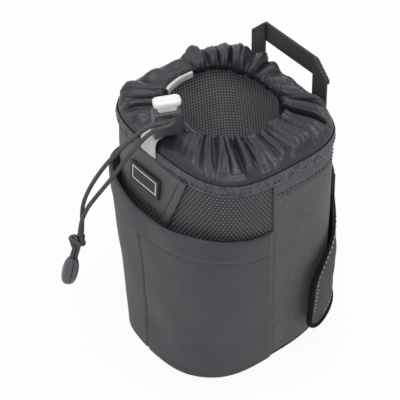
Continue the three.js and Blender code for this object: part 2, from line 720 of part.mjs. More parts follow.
// Spring between the cavity's floor and the plunger
const SPRING_FOOT = CAVITY_UP + GAP + SPRING_WIRE / 2;
const SPRING_TOP = PLUNGER_BOTTOM - GAP - SPRING_WIRE / 2;
const springMiddle = (u) => {
  const a = 2 * Math.PI * SPRING_CURLS * u;
  const z = SPRING_FOOT + (SPRING_TOP - SPRING_FOOT) * u;
  return new THREE.Vector3(SPRING_TURN * Math.cos(a), SPRING_TURN * Math.sin(a), z);
};
const springStops = fractions(8 * SPRING_CURLS);
const springRings = springStops.map((u) => {
  const middle = springMiddle(u);
  const out = new THREE.Vector3(middle.x, middle.y, 0).normalize();
  return fractions(5).slice(0, 5).map((v) => {
    const a = 2 * Math.PI * v;
    const up = new THREE.Vector3(0, 0, (SPRING_WIRE / 2) * Math.sin(a));
    return middle.clone().addScaledVector(out, (SPRING_WIRE / 2) * Math.cos(a)).add(up);
  });
});
let springGap = Infinity;
springStops.forEach((u, i) => {
  for (const v of springStops.slice(i + 5)) {
    springGap = Math.min(springGap, springMiddle(u).distanceTo(springMiddle(v)) - SPRING_WIRE);
  }
});
console.log(`spring: least gap to itself ${springGap.toFixed(2)} mm`);
addPiece("cord_lock_spring", placeLock(solidSweep(springRings)), STEEL);

// Webbing tab from the rim's front edge, up over the collar's crest and under the lock's foot
const TAB_SEAT = 2 * GAP + 0.6 + TAB / 2;
const tabFoot = wallPoint(0, BODY_HEIGHT, TAB_SEAT);
const tabRoute = new THREE.CatmullRomCurve3([
  new THREE.Vector3(0, tabFoot.y, COLLAR_FOOT),
  new THREE.Vector3(0, tabFoot.y - 0.2, COLLAR_FOOT + 0.4 * COLLAR_RISE),
  new THREE.Vector3(0, tabFoot.y + 0.4, CREST - TAB),
  new THREE.Vector3(0, tabFoot.y + 3.2, TAB_LEVEL - 0.2),
  new THREE.Vector3(0, tabFoot.y + 7, TAB_LEVEL),
  new THREE.Vector3(0, LOCK_CENTRE.y - 2, TAB_LEVEL),
  new THREE.Vector3(0, LOCK_CENTRE.y + LOCK_DEPTH / 2, TAB_LEVEL),
]);
const tabSections = fractions(20).map((u) => {
  const middle = tabRoute.getPoint(u);
  const along = tabRoute.getTangent(u);
  const across = new THREE.Vector3(1, 0, 0);
  const face = across.clone().cross(along);
  return [[-1, -1], [1, -1], [1, 1], [-1, 1]].map(([x, y]) => {
    const side = middle.clone().addScaledVector(across, (x * TAB_WIDTH) / 2);
    return side.addScaledVector(face, (y * TAB) / 2);
  });
});
addPiece("lock_tab", solidSweep(tabSections), PALE_WEBBING);

// Drawcord, its points given by their height over the mouth
const cordPoint = ([x, y, up]) => new THREE.Vector3(x, y, MOUTH_HEIGHT + up);
const cordSection = new THREE.Shape(
  fractions(CORD_SIDES).slice(0, CORD_SIDES).map((u) => {
    const a = 2 * Math.PI * u;
    return new THREE.Vector2(CORD_RADIUS * Math.cos(a), CORD_RADIUS * Math.sin(a));
  }),
);
function cordTube(points, steps) {
  const extrudePath = new THREE.CatmullRomCurve3(points);
  return new THREE.ExtrudeGeometry(cordSection, { steps, extrudePath, bevelEnabled: false });
}

const KNOT_REACH = KNOT_TURN + CORD_RADIUS + GAP;
const KNOT_UP = -80.4;
const KNOT_TOP = KNOT_UP + KNOT_REACH;
const KNOT_CENTRE = cordPoint([-24, -105.2, KNOT_UP]);
const CORD_END_CENTRE = cordPoint([-27.4, -110.2, -107.3]);
const UPPER_TAIL = [
  [14.6, -54.5, 21.7],
  [15.2, -57.3, 22.6],
  [13.4, -60.6, 22.6],
  [10.4, -63.7, 20.6],
  [7.1, -66.6, 17.4],
  [0.4, -72.4, 8.5],
  [-6.2, -78.5, -2.6],
  [-12.1, -85.3, -14.3],
  [-16.9, -91.7, -26.8],
  [-20.3, -96.6, -38.5],
  [-22.3, -99.6, -49.0],
  [-23.0, -100.6, -57.4],
  [-23.2, -100.9, -66.6],
  [-23.5, -101.3, KNOT_TOP],
];
const LOWER_TAIL = [
  [16.9, -51.6, 21.6],
  [19.0, -54.4, 22.3],
  [19.2, -57.8, 22.6],
  [17.6, -61.2, 22.0],
  [14.6, -64.6, 19.8],
  [10.6, -67.6, 14.6],
  [5.0, -71.9, 5.1],
  [-0.3, -76.6, -5.8],
  [-4.7, -81.6, -16.6],
  [-8.0, -85.6, -25.0],
  [-11.4, -90.2, -33.4],
  [-15.0, -95.2, -42.2],
  [-17.8, -99.3, -50.1],
  [-19.9, -102.4, -59.0],
  [-21.0, -104.0, -67.2],
  [-21.6, -104.7, KNOT_TOP],
];
const CORD_EXIT = LOCK_DEPTH / 2 + GAP;
const cordStart = (x) => lockPoint(x, -CORD_EXIT, CORD_UP);
addPiece("drawcord_tail_upper", cordTube([cordStart(-CORD_SPACING / 2), ...UPPER_TAIL.map(cordPoint)], 28), DARK);
addPiece("drawcord_tail_lower", cordTube([cordStart(CORD_SPACING / 2), ...LOWER_TAIL.map(cordPoint)], 28), DARK);

// Cord in the tunnel, with both ends rising to the lock's back
const RIGHT_RISE = [
  [-1.2, -43.4, 21.0],
  [-3.4, -40.8, 18.0],
  [-2.6, -37.4, 12.4],
  [1.2, -34.4, 7.2],
  [6.4, -32.8, 3.2],
  [11.6, -31.9, 0.8],
];
const LEFT_RISE = [
  [-2.9, -46.6, 21.3],
  [-6.2, -44.4, 19.2],
  [-8.2, -41.2, 14.4],
  [-8.8, -37.8, 8.6],
  [-9.8, -34.8, 3.8],
  [-12.6, -32.6, 1.0],
];
const tunnelCord = fractions(26).map((u) => mouthAt(TUNNEL_FROM + TUNNEL_LENGTH * u));
const loopRoute = [
  lockPoint(CORD_SPACING / 2, CORD_EXIT, CORD_UP),
  ...RIGHT_RISE.map(cordPoint),
  ...tunnelCord,
  ...LEFT_RISE.map(cordPoint).reverse(),
  lockPoint(-CORD_SPACING / 2, CORD_EXIT, CORD_UP),
];
addPiece("drawcord_loop", cordTube(loopRoute, 64), DARK);

// Knot, leads and cord end
const facing = THREE.MathUtils.degToRad(CORD_FACING);
const knotTurns = [[0.5, 0.2], [-0.6, 0.1], [1.45, 0.9]].map(([tiltX, tiltY]) => {
  const turn = new THREE.TorusGeometry(KNOT_TURN, CORD_RADIUS, 6, 10);
  return turn.rotateX(tiltX).rotateY(tiltY);
});
const knot = joined(knotTurns).rotateZ(facing).translate(KNOT_CENTRE.x, KNOT_CENTRE.y, KNOT_CENTRE.z);
addPiece("drawcord_knot", knot, DARK);

const endTilt = THREE.MathUtils.degToRad(CORD_END_TILT);
const UP = new THREE.Vector3(0, 0, 1);
const faceBack = new THREE.Vector3(-Math.sin(facing), Math.cos(facing), 0);
const endBack = faceBack.clone().multiplyScalar(Math.cos(endTilt)).addScaledVector(UP, -Math.sin(endTilt));
const endUp = UP.clone().multiplyScalar(Math.cos(endTilt)).addScaledVector(faceBack, Math.sin(endTilt));
for (const [name, side] of [["drawcord_lead_left", -1], ["drawcord_lead_right", 1]]) {
  const apart = (side * CORD_SPACING) / 2;
  const top = KNOT_CENTRE.clone().addScaledVector(faceBack, apart).addScaledVector(UP, -KNOT_REACH);
  const foot = CORD_END_CENTRE.clone().addScaledVector(endBack, apart);
  foot.addScaledVector(endUp, CORD_END_HEIGHT / 2 + GAP);
  const middle = top.clone().lerp(foot, 0.5);
  addPiece(name, cordTube([top, middle, foot], 4), DARK);
}

const HALF_DEPTH = (CORD_END_DEPTH - GAP) / 2;
const endFace = roundedRect(CORD_END_WIDTH, CORD_END_HEIGHT, CORD_END_WIDTH / 2 - 0.8);
for (const [name, side] of [["cord_end_front", -1], ["cord_end_back", 1]]) {
  const half = frontExtrude(endFace, HALF_DEPTH, 1.4, 4).translate(0, (side * (HALF_DEPTH + GAP)) / 2, 0);
  half.rotateX(-endTilt).rotateZ(facing).translate(CORD_END_CENTRE.x, CORD_END_CENTRE.y, CORD_END_CENTRE.z);
  addPiece(name, half, BLACK_PLASTIC);
}

// Carry handle: webbing folded at its two upper corners, turning on the line of its feet
const rimBack = wallPoint(BACK, BODY_HEIGHT, 0);
const HANDLE_Y = rimBack.y + HANDLE_CLEAR + WEBBING / 2;
const HINGE_Z = BINDING_TOP + GAP;
const HANDLE_TOP = HINGE_Z + HANDLE_RISE;
const legs = [-1, 1].map((side) => {
  const outer = side * HANDLE_HALF;
  const inner = side * (HANDLE_HALF - HANDLE_LEG);
  const leg = new THREE.Shape();
  leg.moveTo(outer, HINGE_Z);
  leg.lineTo(outer, HANDLE_TOP - HANDLE_CHAMFER);
  leg.lineTo(outer - side * HANDLE_CHAMFER, HANDLE_TOP);
  leg.lineTo(inner, HANDLE_TOP);
  leg.lineTo(inner, HINGE_Z);
  const plate = frontExtrude(leg, WEBBING, 0, 1);
  const roll = new THREE.CylinderGeometry(WEBBING / 2, WEBBING / 2, HANDLE_LEG, 12).rotateZ(Math.PI / 2);
  roll.translate((outer + inner) / 2, 0, HINGE_Z);
  return joined([plate, roll]);
});
const strapHalf = HANDLE_HALF - HANDLE_CHAMFER;
const strapFoot = HANDLE_TOP - HANDLE_STRAP;
const strap = new THREE.Shape();
strap.moveTo(-strapHalf, HANDLE_TOP);
strap.lineTo(strapHalf, HANDLE_TOP);
strap.lineTo(HANDLE_HALF, HANDLE_TOP - HANDLE_CHAMFER);
strap.lineTo(HANDLE_HALF, strapFoot);
strap.lineTo(-HANDLE_HALF, strapFoot);
strap.lineTo(-HANDLE_HALF, HANDLE_TOP - HANDLE_CHAMFER);
const strapPlate = frontExtrude(strap, WEBBING, 0, 1).translate(0, 0.9 * WEBBING, 0);
addPiece("handle_webbing", joined([...legs, strapPlate]).translate(0, HANDLE_Y, 0), DARK);

// Feet that sew the handle to the back of the wall, flat on the outside
const FOOT_TOP = HINGE_Z - WEBBING / 2 - GAP;
const footFace = HANDLE_Y + WEBBING / 2;
for (const [name, side] of [["handle_foot_left", -1], ["handle_foot_right", 1]]) {
  const middle = HANDLE_HALF - HANDLE_LEG / 2;
  const heights = fractions(2).map((v) => FOOT_TOP - FOOT_HEIGHT * (1 - v));
  const lean = planSize(FOOT_TOP).lean;
  const runs = fractions(4).map((u) => BACK + runFor(lean - side * (middle + HANDLE_LEG * (u - 0.5)), FOOT_TOP));
  const inner = heights.map((z) => runs.map((s) => wallPoint(s, z, GAP)));
  const outer = inner.map((row) => row.map((p) => new THREE.Vector3(p.x, footFace, p.z)));
  addPiece(name, solidSheet(outer, inner, false), DARK);
}

// Belt flap with two wings, held at its top and by hook and loop below
const FLAP_TOP = BODY_HEIGHT - FLAP_DROP;
const FLAP_STAND = 3 * GAP + 2 * PATCH;
function flapHalf(z) {
  const t = THREE.MathUtils.smoothstep(z, FLAP_WING_FROM, FLAP_WING_TO);
  const half = FLAP_WING_HALF + (FLAP_TOP_HALF - FLAP_WING_HALF) * t;
  const below = FLAP_BOTTOM + FLAP_CORNER - z;
  if (below <= 0) return half;
  return half - FLAP_CORNER + Math.sqrt(Math.max(FLAP_CORNER ** 2 - below ** 2, 0));
}
function flapStand(q, z) {
  const lift = THREE.MathUtils.smoothstep(FLAP_TOP - z, 0, FLAP_LIFT);
  const wing = Math.max(Math.abs(q) - PATCH_HALF, 0) / (FLAP_WING_HALF - PATCH_HALF);
  const low = 1 - THREE.MathUtils.smoothstep(z, FLAP_WING_FROM, FLAP_WING_TO);
  return GAP + (FLAP_STAND - GAP) * lift + FLAP_WING_FLARE * wing ** 1.5 * low;
}
const cornerRows = [0, 0.06, 0.22, 0.5, 1].map((u) => FLAP_BOTTOM + FLAP_CORNER * u);
const upperRows = fractions(8).slice(1).map((u) => {
  const from = FLAP_BOTTOM + FLAP_CORNER;
  return from + (FLAP_TOP - FLAP_LIFT - from) * u;
});
const seamRows = [0.33, 0.67, 1].map((u) => FLAP_TOP - FLAP_LIFT * (1 - u));
const flapRows = [...cornerRows, ...upperRows, ...seamRows];
function flapGrid(off) {
  return flapRows.map((z) =>
    fractions(22).map((u) => {
      const q = (1 - 2 * u) * flapHalf(z);
      return wallPoint(BACK - q, z, flapStand(q, z) + off);
    }),
  );
}
addPiece("belt_flap_panel", solidSheet(flapGrid(FLAP), flapGrid(0), false), TWILL);

const PATCH_TOP = PATCH_BOTTOM + PATCH_HEIGHT;
const patch = (inner) => wallPatch(BACK - PATCH_HALF, BACK + PATCH_HALF, PATCH_BOTTOM, PATCH_TOP, inner, inner + PATCH);
addPiece("belt_loop_patch", patch(GAP), DARK);
addPiece("belt_hook_patch", patch(FLAP_STAND - GAP - PATCH), DARK);
const ANCHOR_FOOT = FLAP_TOP + GAP;
addPiece(
  "belt_flap_anchor",
  wallPatch(
    BACK - FLAP_TOP_HALF,
    BACK + FLAP_TOP_HALF,
    ANCHOR_FOOT,
    ANCHOR_FOOT + ANCHOR_HEIGHT,
    GAP,
    GAP + ANCHOR,
  ),
  DARK,
);

// Thick piping along the flap's free edge, from one side of the neck round the wings to the other
const pipedRows = flapRows.filter((z) => z <= FLAP_TOP - FLAP_LIFT).reverse();
const footHalf = flapHalf(FLAP_BOTTOM);
const pipingRoute = [
  ...pipedRows.map((z) => [flapHalf(z), z]),
  ...fractions(12).slice(1, 12).map((u) => [footHalf * (1 - 2 * u), FLAP_BOTTOM]),
  ...pipedRows.toReversed().map((z) => [-flapHalf(z), z]),
];
const pipingMiddle = ([q, z]) => wallPoint(BACK - q, z, flapStand(q, z) + FLAP / 2);
const pipingSections = pipingRoute.map((stop, k) => {
  const [q, z] = stop;
  const middle = pipingMiddle(stop);
  const before = pipingMiddle(pipingRoute[Math.max(k - 1, 0)]);
  const after = pipingMiddle(pipingRoute[Math.min(k + 1, pipingRoute.length - 1)]);
  const along = after.sub(before).normalize();
  const face = wallPoint(BACK - q, z, 1).sub(wallPoint(BACK - q, z, 0)).normalize();
  const out = along.clone().cross(face).normalize();
  middle.addScaledVector(out, GAP + PIPING_WIDTH / 2);
  return fractions(8).slice(0, 8).map((u) => {
    const a = 2 * Math.PI * u;
    const side = middle.clone().addScaledVector(out, (PIPING_WIDTH / 2) * Math.cos(a));
    return side.addScaledVector(face, (PIPING_DEPTH / 2) * Math.sin(a));
  });
});
addPiece("belt_flap_binding", solidSweep(pipingSections), DARK);

export default group;
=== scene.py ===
import math
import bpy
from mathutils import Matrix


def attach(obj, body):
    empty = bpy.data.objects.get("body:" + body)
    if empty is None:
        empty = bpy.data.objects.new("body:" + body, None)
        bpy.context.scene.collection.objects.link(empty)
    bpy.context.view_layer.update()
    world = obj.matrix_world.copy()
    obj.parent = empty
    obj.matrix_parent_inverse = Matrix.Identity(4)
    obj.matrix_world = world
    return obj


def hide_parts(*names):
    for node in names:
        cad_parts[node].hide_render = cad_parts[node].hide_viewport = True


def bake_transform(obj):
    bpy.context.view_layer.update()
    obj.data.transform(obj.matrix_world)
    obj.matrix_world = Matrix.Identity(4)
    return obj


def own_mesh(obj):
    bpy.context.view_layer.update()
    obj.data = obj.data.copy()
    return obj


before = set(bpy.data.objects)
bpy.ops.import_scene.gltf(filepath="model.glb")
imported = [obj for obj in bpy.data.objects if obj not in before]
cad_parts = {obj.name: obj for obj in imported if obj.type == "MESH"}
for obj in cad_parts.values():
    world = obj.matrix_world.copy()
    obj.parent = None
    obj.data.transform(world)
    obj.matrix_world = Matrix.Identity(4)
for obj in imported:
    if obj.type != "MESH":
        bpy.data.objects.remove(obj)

from types import SimpleNamespace

import bmesh
import bpy
import numpy as np
from bpy.props import FloatProperty, FloatVectorProperty, PointerProperty
from mathutils import Matrix, Vector

bl_info = {
    "name": "Lens pouch",
    "version": (1, 0, 0),
    "blender": (4, 5, 0),
    "location": "View3D > Sidebar > Pouch",
    "description": "Dresses the lens pouch in cloth, padding, cord and trim",
    "category": "Object",
}

# Shapes are worked out in millimetres and brought to metres as each piece is finished.
MM = 0.001
TAU = 2 * math.pi
WEAVE_MAP = "weave"
# Pad height of the front mesh, kept per point; the mesh's colour uses it for painted shade in the pits and
# painted light on the pads.
RAISED = "raised"
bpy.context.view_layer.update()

# Camera
VIEW_AZIMUTH = 51
VIEW_ELEVATION = 41
VIEW_DISTANCE = 1.5
VIEW_TARGET = (0, 0, 0.09)
VIEW_LENS = 189
VIEW_SHIFT = (-0.045, 0.065)

# Light and floor; each lamp has a name, a place and a size in metres, and a power in watts
LAMPS = (
    ("left_softbox", (-1.1, -0.9, 1.1), 1.0, 4.8),
    ("front_softbox", (0.95, -0.8, 1.5), 0.6, 6.8),
    ("top_softbox", (0.2, 0.1, 1.8), 0.7, 12.0),
)
WORLD_LIGHT = 0.36
FLOOR_HALF = 4
FLOOR_DROP = 0.0004
FLOOR_GREY = 0.95
FLOOR_WHITE = 0.92

# Body
BODY_HEIGHT = 184
POCKET_DROP = 45  # wall's top edge to the pocket's
POCKET_TOP = BODY_HEIGHT - POCKET_DROP
RIM_BACK = 61.5
BASE_POWER = 2.9  # squareness of the plan, 2 would be an ellipse
RIM_POWER = 3.4
SEAM_FADE = 50  # length behind the side seam over which its slant dies out

# Layers of the wall and the base
GAP = 0.3
SHELL = 1.2
FOAM = 3.6
LINING = 0.8
SEAM_TAPE = 1.0
BASE_PANEL = 2
FOAM_BASE = 4
BASE_INSET = 0.8

# The layers as offsets from the wall's outer face, and their heights
PADDING_OUT = -SHELL - GAP
PADDING_IN = PADDING_OUT - FOAM
LINING_IN = PADDING_IN - GAP - LINING
TAPE_IN = LINING_IN - SEAM_TAPE
WALL_FOOT = BASE_PANEL + GAP
LINING_FLOOR = WALL_FOOT + FOAM_BASE + GAP + LINING

# Collar and mouth
BINDING_FOOT = BODY_HEIGHT + GAP
BINDING_TOP = BINDING_FOOT + 3
CREST = BINDING_TOP + GAP + 13
MOUTH_HEIGHT = CREST - 2
MOUTH_POWER = 2.6
MOUTH_BACK_SHIFT = 5
TUNNEL_FROM = 17  # middle of the front to the tunnel's end
TAG_FROM_LEFT = 10
COLLAR_BAND = 0.15  # share of the collar's sheet under the rim tape

# Cord lock, in its own frame
LOCK_PLACE = (7, -49, 203.5)
LOCK_TURN = 66  # degrees the lock is twisted on its tab
LOCK_WIDTH = 20
LOCK_HEIGHT = 21
LOCK_DEPTH = 12
CORD_UP = 16.2
CORD_SPACING = 3.5

# Free drawcord: points from the lock to the knot
UPPER_TAIL = [
    (12.0, -53.2, 219.7), (13.5, -53.8, 219.9), (14.8, -55.0, 220.3), (15.5, -56.7, 220.9),
    (15.5, -58.6, 221.4), (14.8, -60.4, 221.6), (13.3, -62.1, 221.2), (10.4, -64.5, 219.2),
    (7.1, -67.0, 216.0), (0.4, -72.4, 207.1), (-6.2, -78.5, 196.0), (-12.1, -85.3, 184.3),
    (-16.9, -91.7, 171.8), (-20.3, -96.6, 160.1), (-22.3, -99.6, 149.6), (-23.0, -100.6, 141.2),
    (-23.2, -100.9, 132.0), (-23.5, -101.3, 123.3),
]
LOWER_TAIL = [
    (13.5, -50.0, 219.7), (16.9, -51.6, 220.2), (19.0, -54.4, 220.9), (19.2, -57.8, 221.2),
    (17.6, -61.2, 220.6), (14.6, -64.6, 218.4), (10.6, -67.6, 213.2), (5.0, -71.9, 203.7),
    (-0.3, -76.6, 192.8), (-4.7, -81.6, 182.0), (-8.0, -85.6, 173.6), (-11.4, -90.2, 165.2),
    (-15.0, -95.2, 156.4), (-17.8, -99.3, 148.5), (-19.9, -102.4, 139.6), (-21.0, -104.0, 131.4),
    (-21.6, -104.7, 123.3),
]
RIGHT_RISE = [
    (1.96, -44.84, 219.7), (-1.2, -43.4, 219.6), (-3.4, -40.8, 216.6), (-2.6, -37.4, 211.0),
    (1.2, -34.4, 205.8), (6.4, -32.8, 201.8), (11.6, -31.9, 199.4),
]
LEFT_RISE = [
    (0.54, -48.04, 219.7), (-2.9, -46.6, 219.9), (-6.2, -44.4, 217.8), (-8.2, -41.2, 213.0),
    (-8.8, -37.8, 207.2), (-9.8, -34.8, 202.4), (-12.6, -32.6, 199.6),
]
KNOT_CENTRE = (-24.0, -105.2, 118.2)
CORD_END_CENTRE = (-27.4, -110.2, 91.3)
CORD_FACING = -25  # degrees that the cord end's face is turned from the front
CORD_END_TILT = 14  # degrees that it leans over
CORD_END_SIZE = (10.5, 10.8, 23)
BRAID_LAY = 7.0  # length of cord in which a strand goes once round
BRAID_RELIEF = 0.05  # share of the radius
SWEEP_FACE = (0.31, 0.22, 0.92)  # direction that a tube's first section faces

# Thread: space between stitches, and half its width and height
STITCH_GAP = 1.2
THREAD_HALF = (0.42, 0.36)

# Carry handle
WEBBING = 2
HANDLE_CLEAR = 0.6  # handle to the collar
HINGE_Z = BINDING_TOP + GAP
HANDLE_Y = RIM_BACK + HANDLE_CLEAR + WEBBING / 2
HANDLE_HALF = 39.5
HANDLE_LEG = 14
HANDLE_RISE = 36.5  # hinge line to the top edge
HANDLE_TOP = HINGE_Z + HANDLE_RISE
HANDLE_STRAP = 15
HANDLE_CHAMFER = 12
FOOT_TOP = HINGE_Z - WEBBING / 2 - GAP
FOOT_HEIGHT = 18

# Belt flap
FLAP_DROP = 34  # wall's top edge to the sewn top
FLAP_TOP = BODY_HEIGHT - FLAP_DROP
FLAP_BOTTOM = 18
FLAP_TOP_HALF = 40
FLAP_WING_HALF = 88
FLAP_FLARE = 6
FLAP_WING_FROM = 65
FLAP_WING_TO = 115
FLAP_CORNER = 16
FLAP = 2.4
FLAP_LIFT = 14  # length under the sewn top in which the flap leaves the wall
FLAP_STAND = 2.9  # wall to the flap where the hook and loop meet
PATCH_HALF = 29
PATCH_BOTTOM = 26
PATCH_TOP = 60


def srgb(*levels):
    """Linear colour from display levels of 0 to 255."""
    shares = [level / 255 for level in levels]
    return [s / 12.92 if s <= 0.04045 else ((s + 0.055) / 1.055) ** 2.4 for s in shares]


def length(name, millimetres, description):
    """Size in the sidebar, shown in the scene's own units."""
    return FloatProperty(
        name=name, description=description, default=millimetres * MM, min=0, unit="LENGTH", precision=4
    )


def colour(name, levels, description):
    """Colour in the sidebar."""
    return FloatVectorProperty(
        name=name, description=description, default=srgb(*levels), min=0, max=1, size=3, subtype="COLOR"
    )


class PouchSizes(bpy.types.PropertyGroup):
    """Sizes of the pouch"""

    body_height: length("Body height", BODY_HEIGHT, "Base to the wall's top edge")
    base_half_width: length("Base half width", 56, "Half the base's width")
    base_front: length("Base front", 59.5, "Origin to the base's front edge")
    base_back: length("Base back", 78, "Origin to the base's back edge")
    rim_half_width: length("Rim half width", 69, "Half the rim's width")
    rim_front: length("Rim front", 58, "Origin to the rim's front edge")
    rim_back: length("Rim back", RIM_BACK, "Origin to the rim's back edge")
    rim_lean: length("Rim lean", 6, "How far the soft top leans to the right")
    side_seam: length("Side seam", 92, "Front centre to the side seam along the rim")
    seam_slant: length("Seam slant", 16.5, "How much farther back the side seam stands at the base")
    top_band: length("Top band", 14.5, "Height of the band under the rim")
    pocket_top: length("Pocket top", POCKET_TOP, "Height of the pocket at its middle and its seams")
    pocket_rise: length("Pocket rise", 7.5, "How much higher it is over the front corners")
    pocket_stand: length("Pocket stand", 7, "How far the pocket's open top stands off")
    pocket_hem: length("Pocket hem", 20, "Height of the pocket's folded hem")
    mouth_half_width: length("Mouth half width", 43, "Half the mouth's width inside the tunnel")
    mouth_half_depth: length("Mouth half depth", 37, "Half the mouth's depth inside the tunnel")
    gather_depth: length("Gather depth", 7.4, "Height of the collar's gathers over their creases")
    cord: length("Drawcord", 3, "Diameter of the drawcord")
    stitch: length("Stitch", 2.6, "Length of one stitch")


class PouchColours(bpy.types.PropertyGroup):
    """Colours of the pouch"""

    twill: colour("Twill", (85, 84, 89), "Side panels")
    flap: colour("Ribbed twill", (72, 72, 76), "Belt flap")
    mesh: colour("Raised mesh", (97, 97, 102), "Front panel")
    stretch: colour("Stretch knit", (66, 65, 71), "Pocket")
    shield: colour("Shield", (80, 79, 84), "Patch under the label")
    nylon: colour("Ripstop", (44, 45, 51), "Collar")
    tape: colour("Rim tape", (72, 73, 81), "Crinkled tape round the rim")
    # Lighter than the dark grey lining cloth itself: painted light for the pouch's inside, where little
    # lamp light reaches.
    lining: colour("Lining", (172, 168, 174), "Inside of the pouch")
    webbing: colour("Webbing", (52, 50, 53), "Carry handle and tapes")
    cord: colour("Drawcord", (66, 66, 70), "Drawcord and its knot")
    velour: colour("Velour", (20, 20, 23), "Piping of the belt flap")
    foam: colour("Foam", (106, 107, 109), "Padding inside the wall")
    black_plastic: colour("Black plastic", (70, 69, 74), "Lock housing")
    glossy_plastic: colour("Glossy plastic", (84, 84, 91), "Cord end")
    white_plastic: colour("White plastic", (243, 242, 240), "Lock button")
    rubber: colour("Rubber", (40, 40, 44), "Label patch")
    pale_webbing: colour("Pale webbing", (242, 238, 236), "Tab of the cord lock")
    ribbon: colour("Ribbon", (226, 226, 224), "Tag inside the mouth")
    thread: colour("Dark thread", (38, 38, 42), "Seams on dark cloth")
    pale_thread: colour("Pale thread", (196, 196, 198), "Edge stitching of the belt flap")
    steel: colour("Steel", (185, 188, 192), "Spring of the lock")


def in_millimetres(sizes):
    """The sizes of the sidebar, brought to millimetres."""
    return SimpleNamespace(**{name: getattr(sizes, name) / MM for name in PouchSizes.__annotations__})


# Plain helpers


def smoothstep(low, high, x):
    t = np.clip((np.asarray(x, float) - low) / (high - low), 0, 1)
    return t * t * (3 - 2 * t)


def signed_power(x, power):
    return np.sign(x) * np.abs(x) ** power


def superellipse(angle, power, half, front, back):
    """Plan point at an angle from the front centre towards +X."""
    across, along = np.sin(angle), np.cos(angle)
    x = half * signed_power(across, 2 / power)
    y = -np.where(along > 0, front, back) * signed_power(along, 2 / power)
    return x, y


def ripple(points, size, seed):
    """Smooth uneven swell of about -1 to 1 with features of a given size."""
    rng = np.random.default_rng(seed)
    waves = 7
    total = np.zeros(len(points))
    for _ in range(waves):
        direction = rng.normal(size=3)
        pitch = size * rng.uniform(0.7, 1.6)
        phase = rng.uniform(0, TAU)
        total += np.sin(points @ direction / np.linalg.norm(direction) * TAU / pitch + phase)
    return total / math.sqrt(waves)


def smooth_path(points, step):
    """Even points along a centripetal curve through a few chosen ones."""
    p = np.asarray(points, float)
    p = np.vstack([2 * p[0] - p[1], p, 2 * p[-1] - p[-2]])
    fine = []
    for a, b, c, d in zip(p, p[1:], p[2:], p[3:]):
        ab, bc, cd = (math.sqrt(np.linalg.norm(y - x)) for x, y in ((a, b), (b, c), (c, d)))
        start = ((b - a) / ab - (c - a) / (ab + bc) + (c - b) / bc) * bc
        end = ((c - b) / bc - (d - b) / (bc + cd) + (d - c) / cd) * bc
        t = np.linspace(0, 1, 24, endpoint=False)[:, None]
        fine.append(
            b + start * t
            + (3 * (c - b) - 2 * start - end) * t**2
            + (2 * (b - c) + start + end) * t**3
        )
    return even_points(np.vstack([*fine, p[-2:-1]]), step)


def lengths_along(line):
    """Length from the first point to each point of a line."""
    return np.concatenate([[0], np.cumsum(np.linalg.norm(np.diff(line, axis=0), axis=1))])


def path_length(path):
    return np.linalg.norm(np.diff(path, axis=0), axis=1).sum()


def unit(rows):
    """Rows of directions brought to length one."""
    return rows / np.linalg.norm(rows, axis=1)[:, None]


def row_at(share, path):
    """Number of the path's point at a share of the way along its points."""
    return np.rint(share * (len(path) - 1)).astype(int)


def even_points(line, step):
    """The line again with points about a step apart."""
    run = lengths_along(line)
    stops = np.linspace(0, run[-1], max(2, round(run[-1] / step) + 1))
    return np.stack([np.interp(stops, run, line[:, k]) for k in range(3)], axis=1)


class ClosedPlan:
    """Closed outline that is read by the length along it."""

    steps = 8 * 360

    def __init__(self, point_at):
        self.point_at = point_at
        self.angles = np.linspace(0, TAU, self.steps + 1)
        x, y = point_at(self.angles)
        self.lengths = np.concatenate([[0], np.cumsum(np.hypot(np.diff(x), np.diff(y)))])
        self.girth = self.lengths[-1]

    def angle(self, run):
        return np.interp(np.mod(run, self.girth), self.lengths, self.angles)

    def point(self, run):
        return self.point_at(self.angle(run))


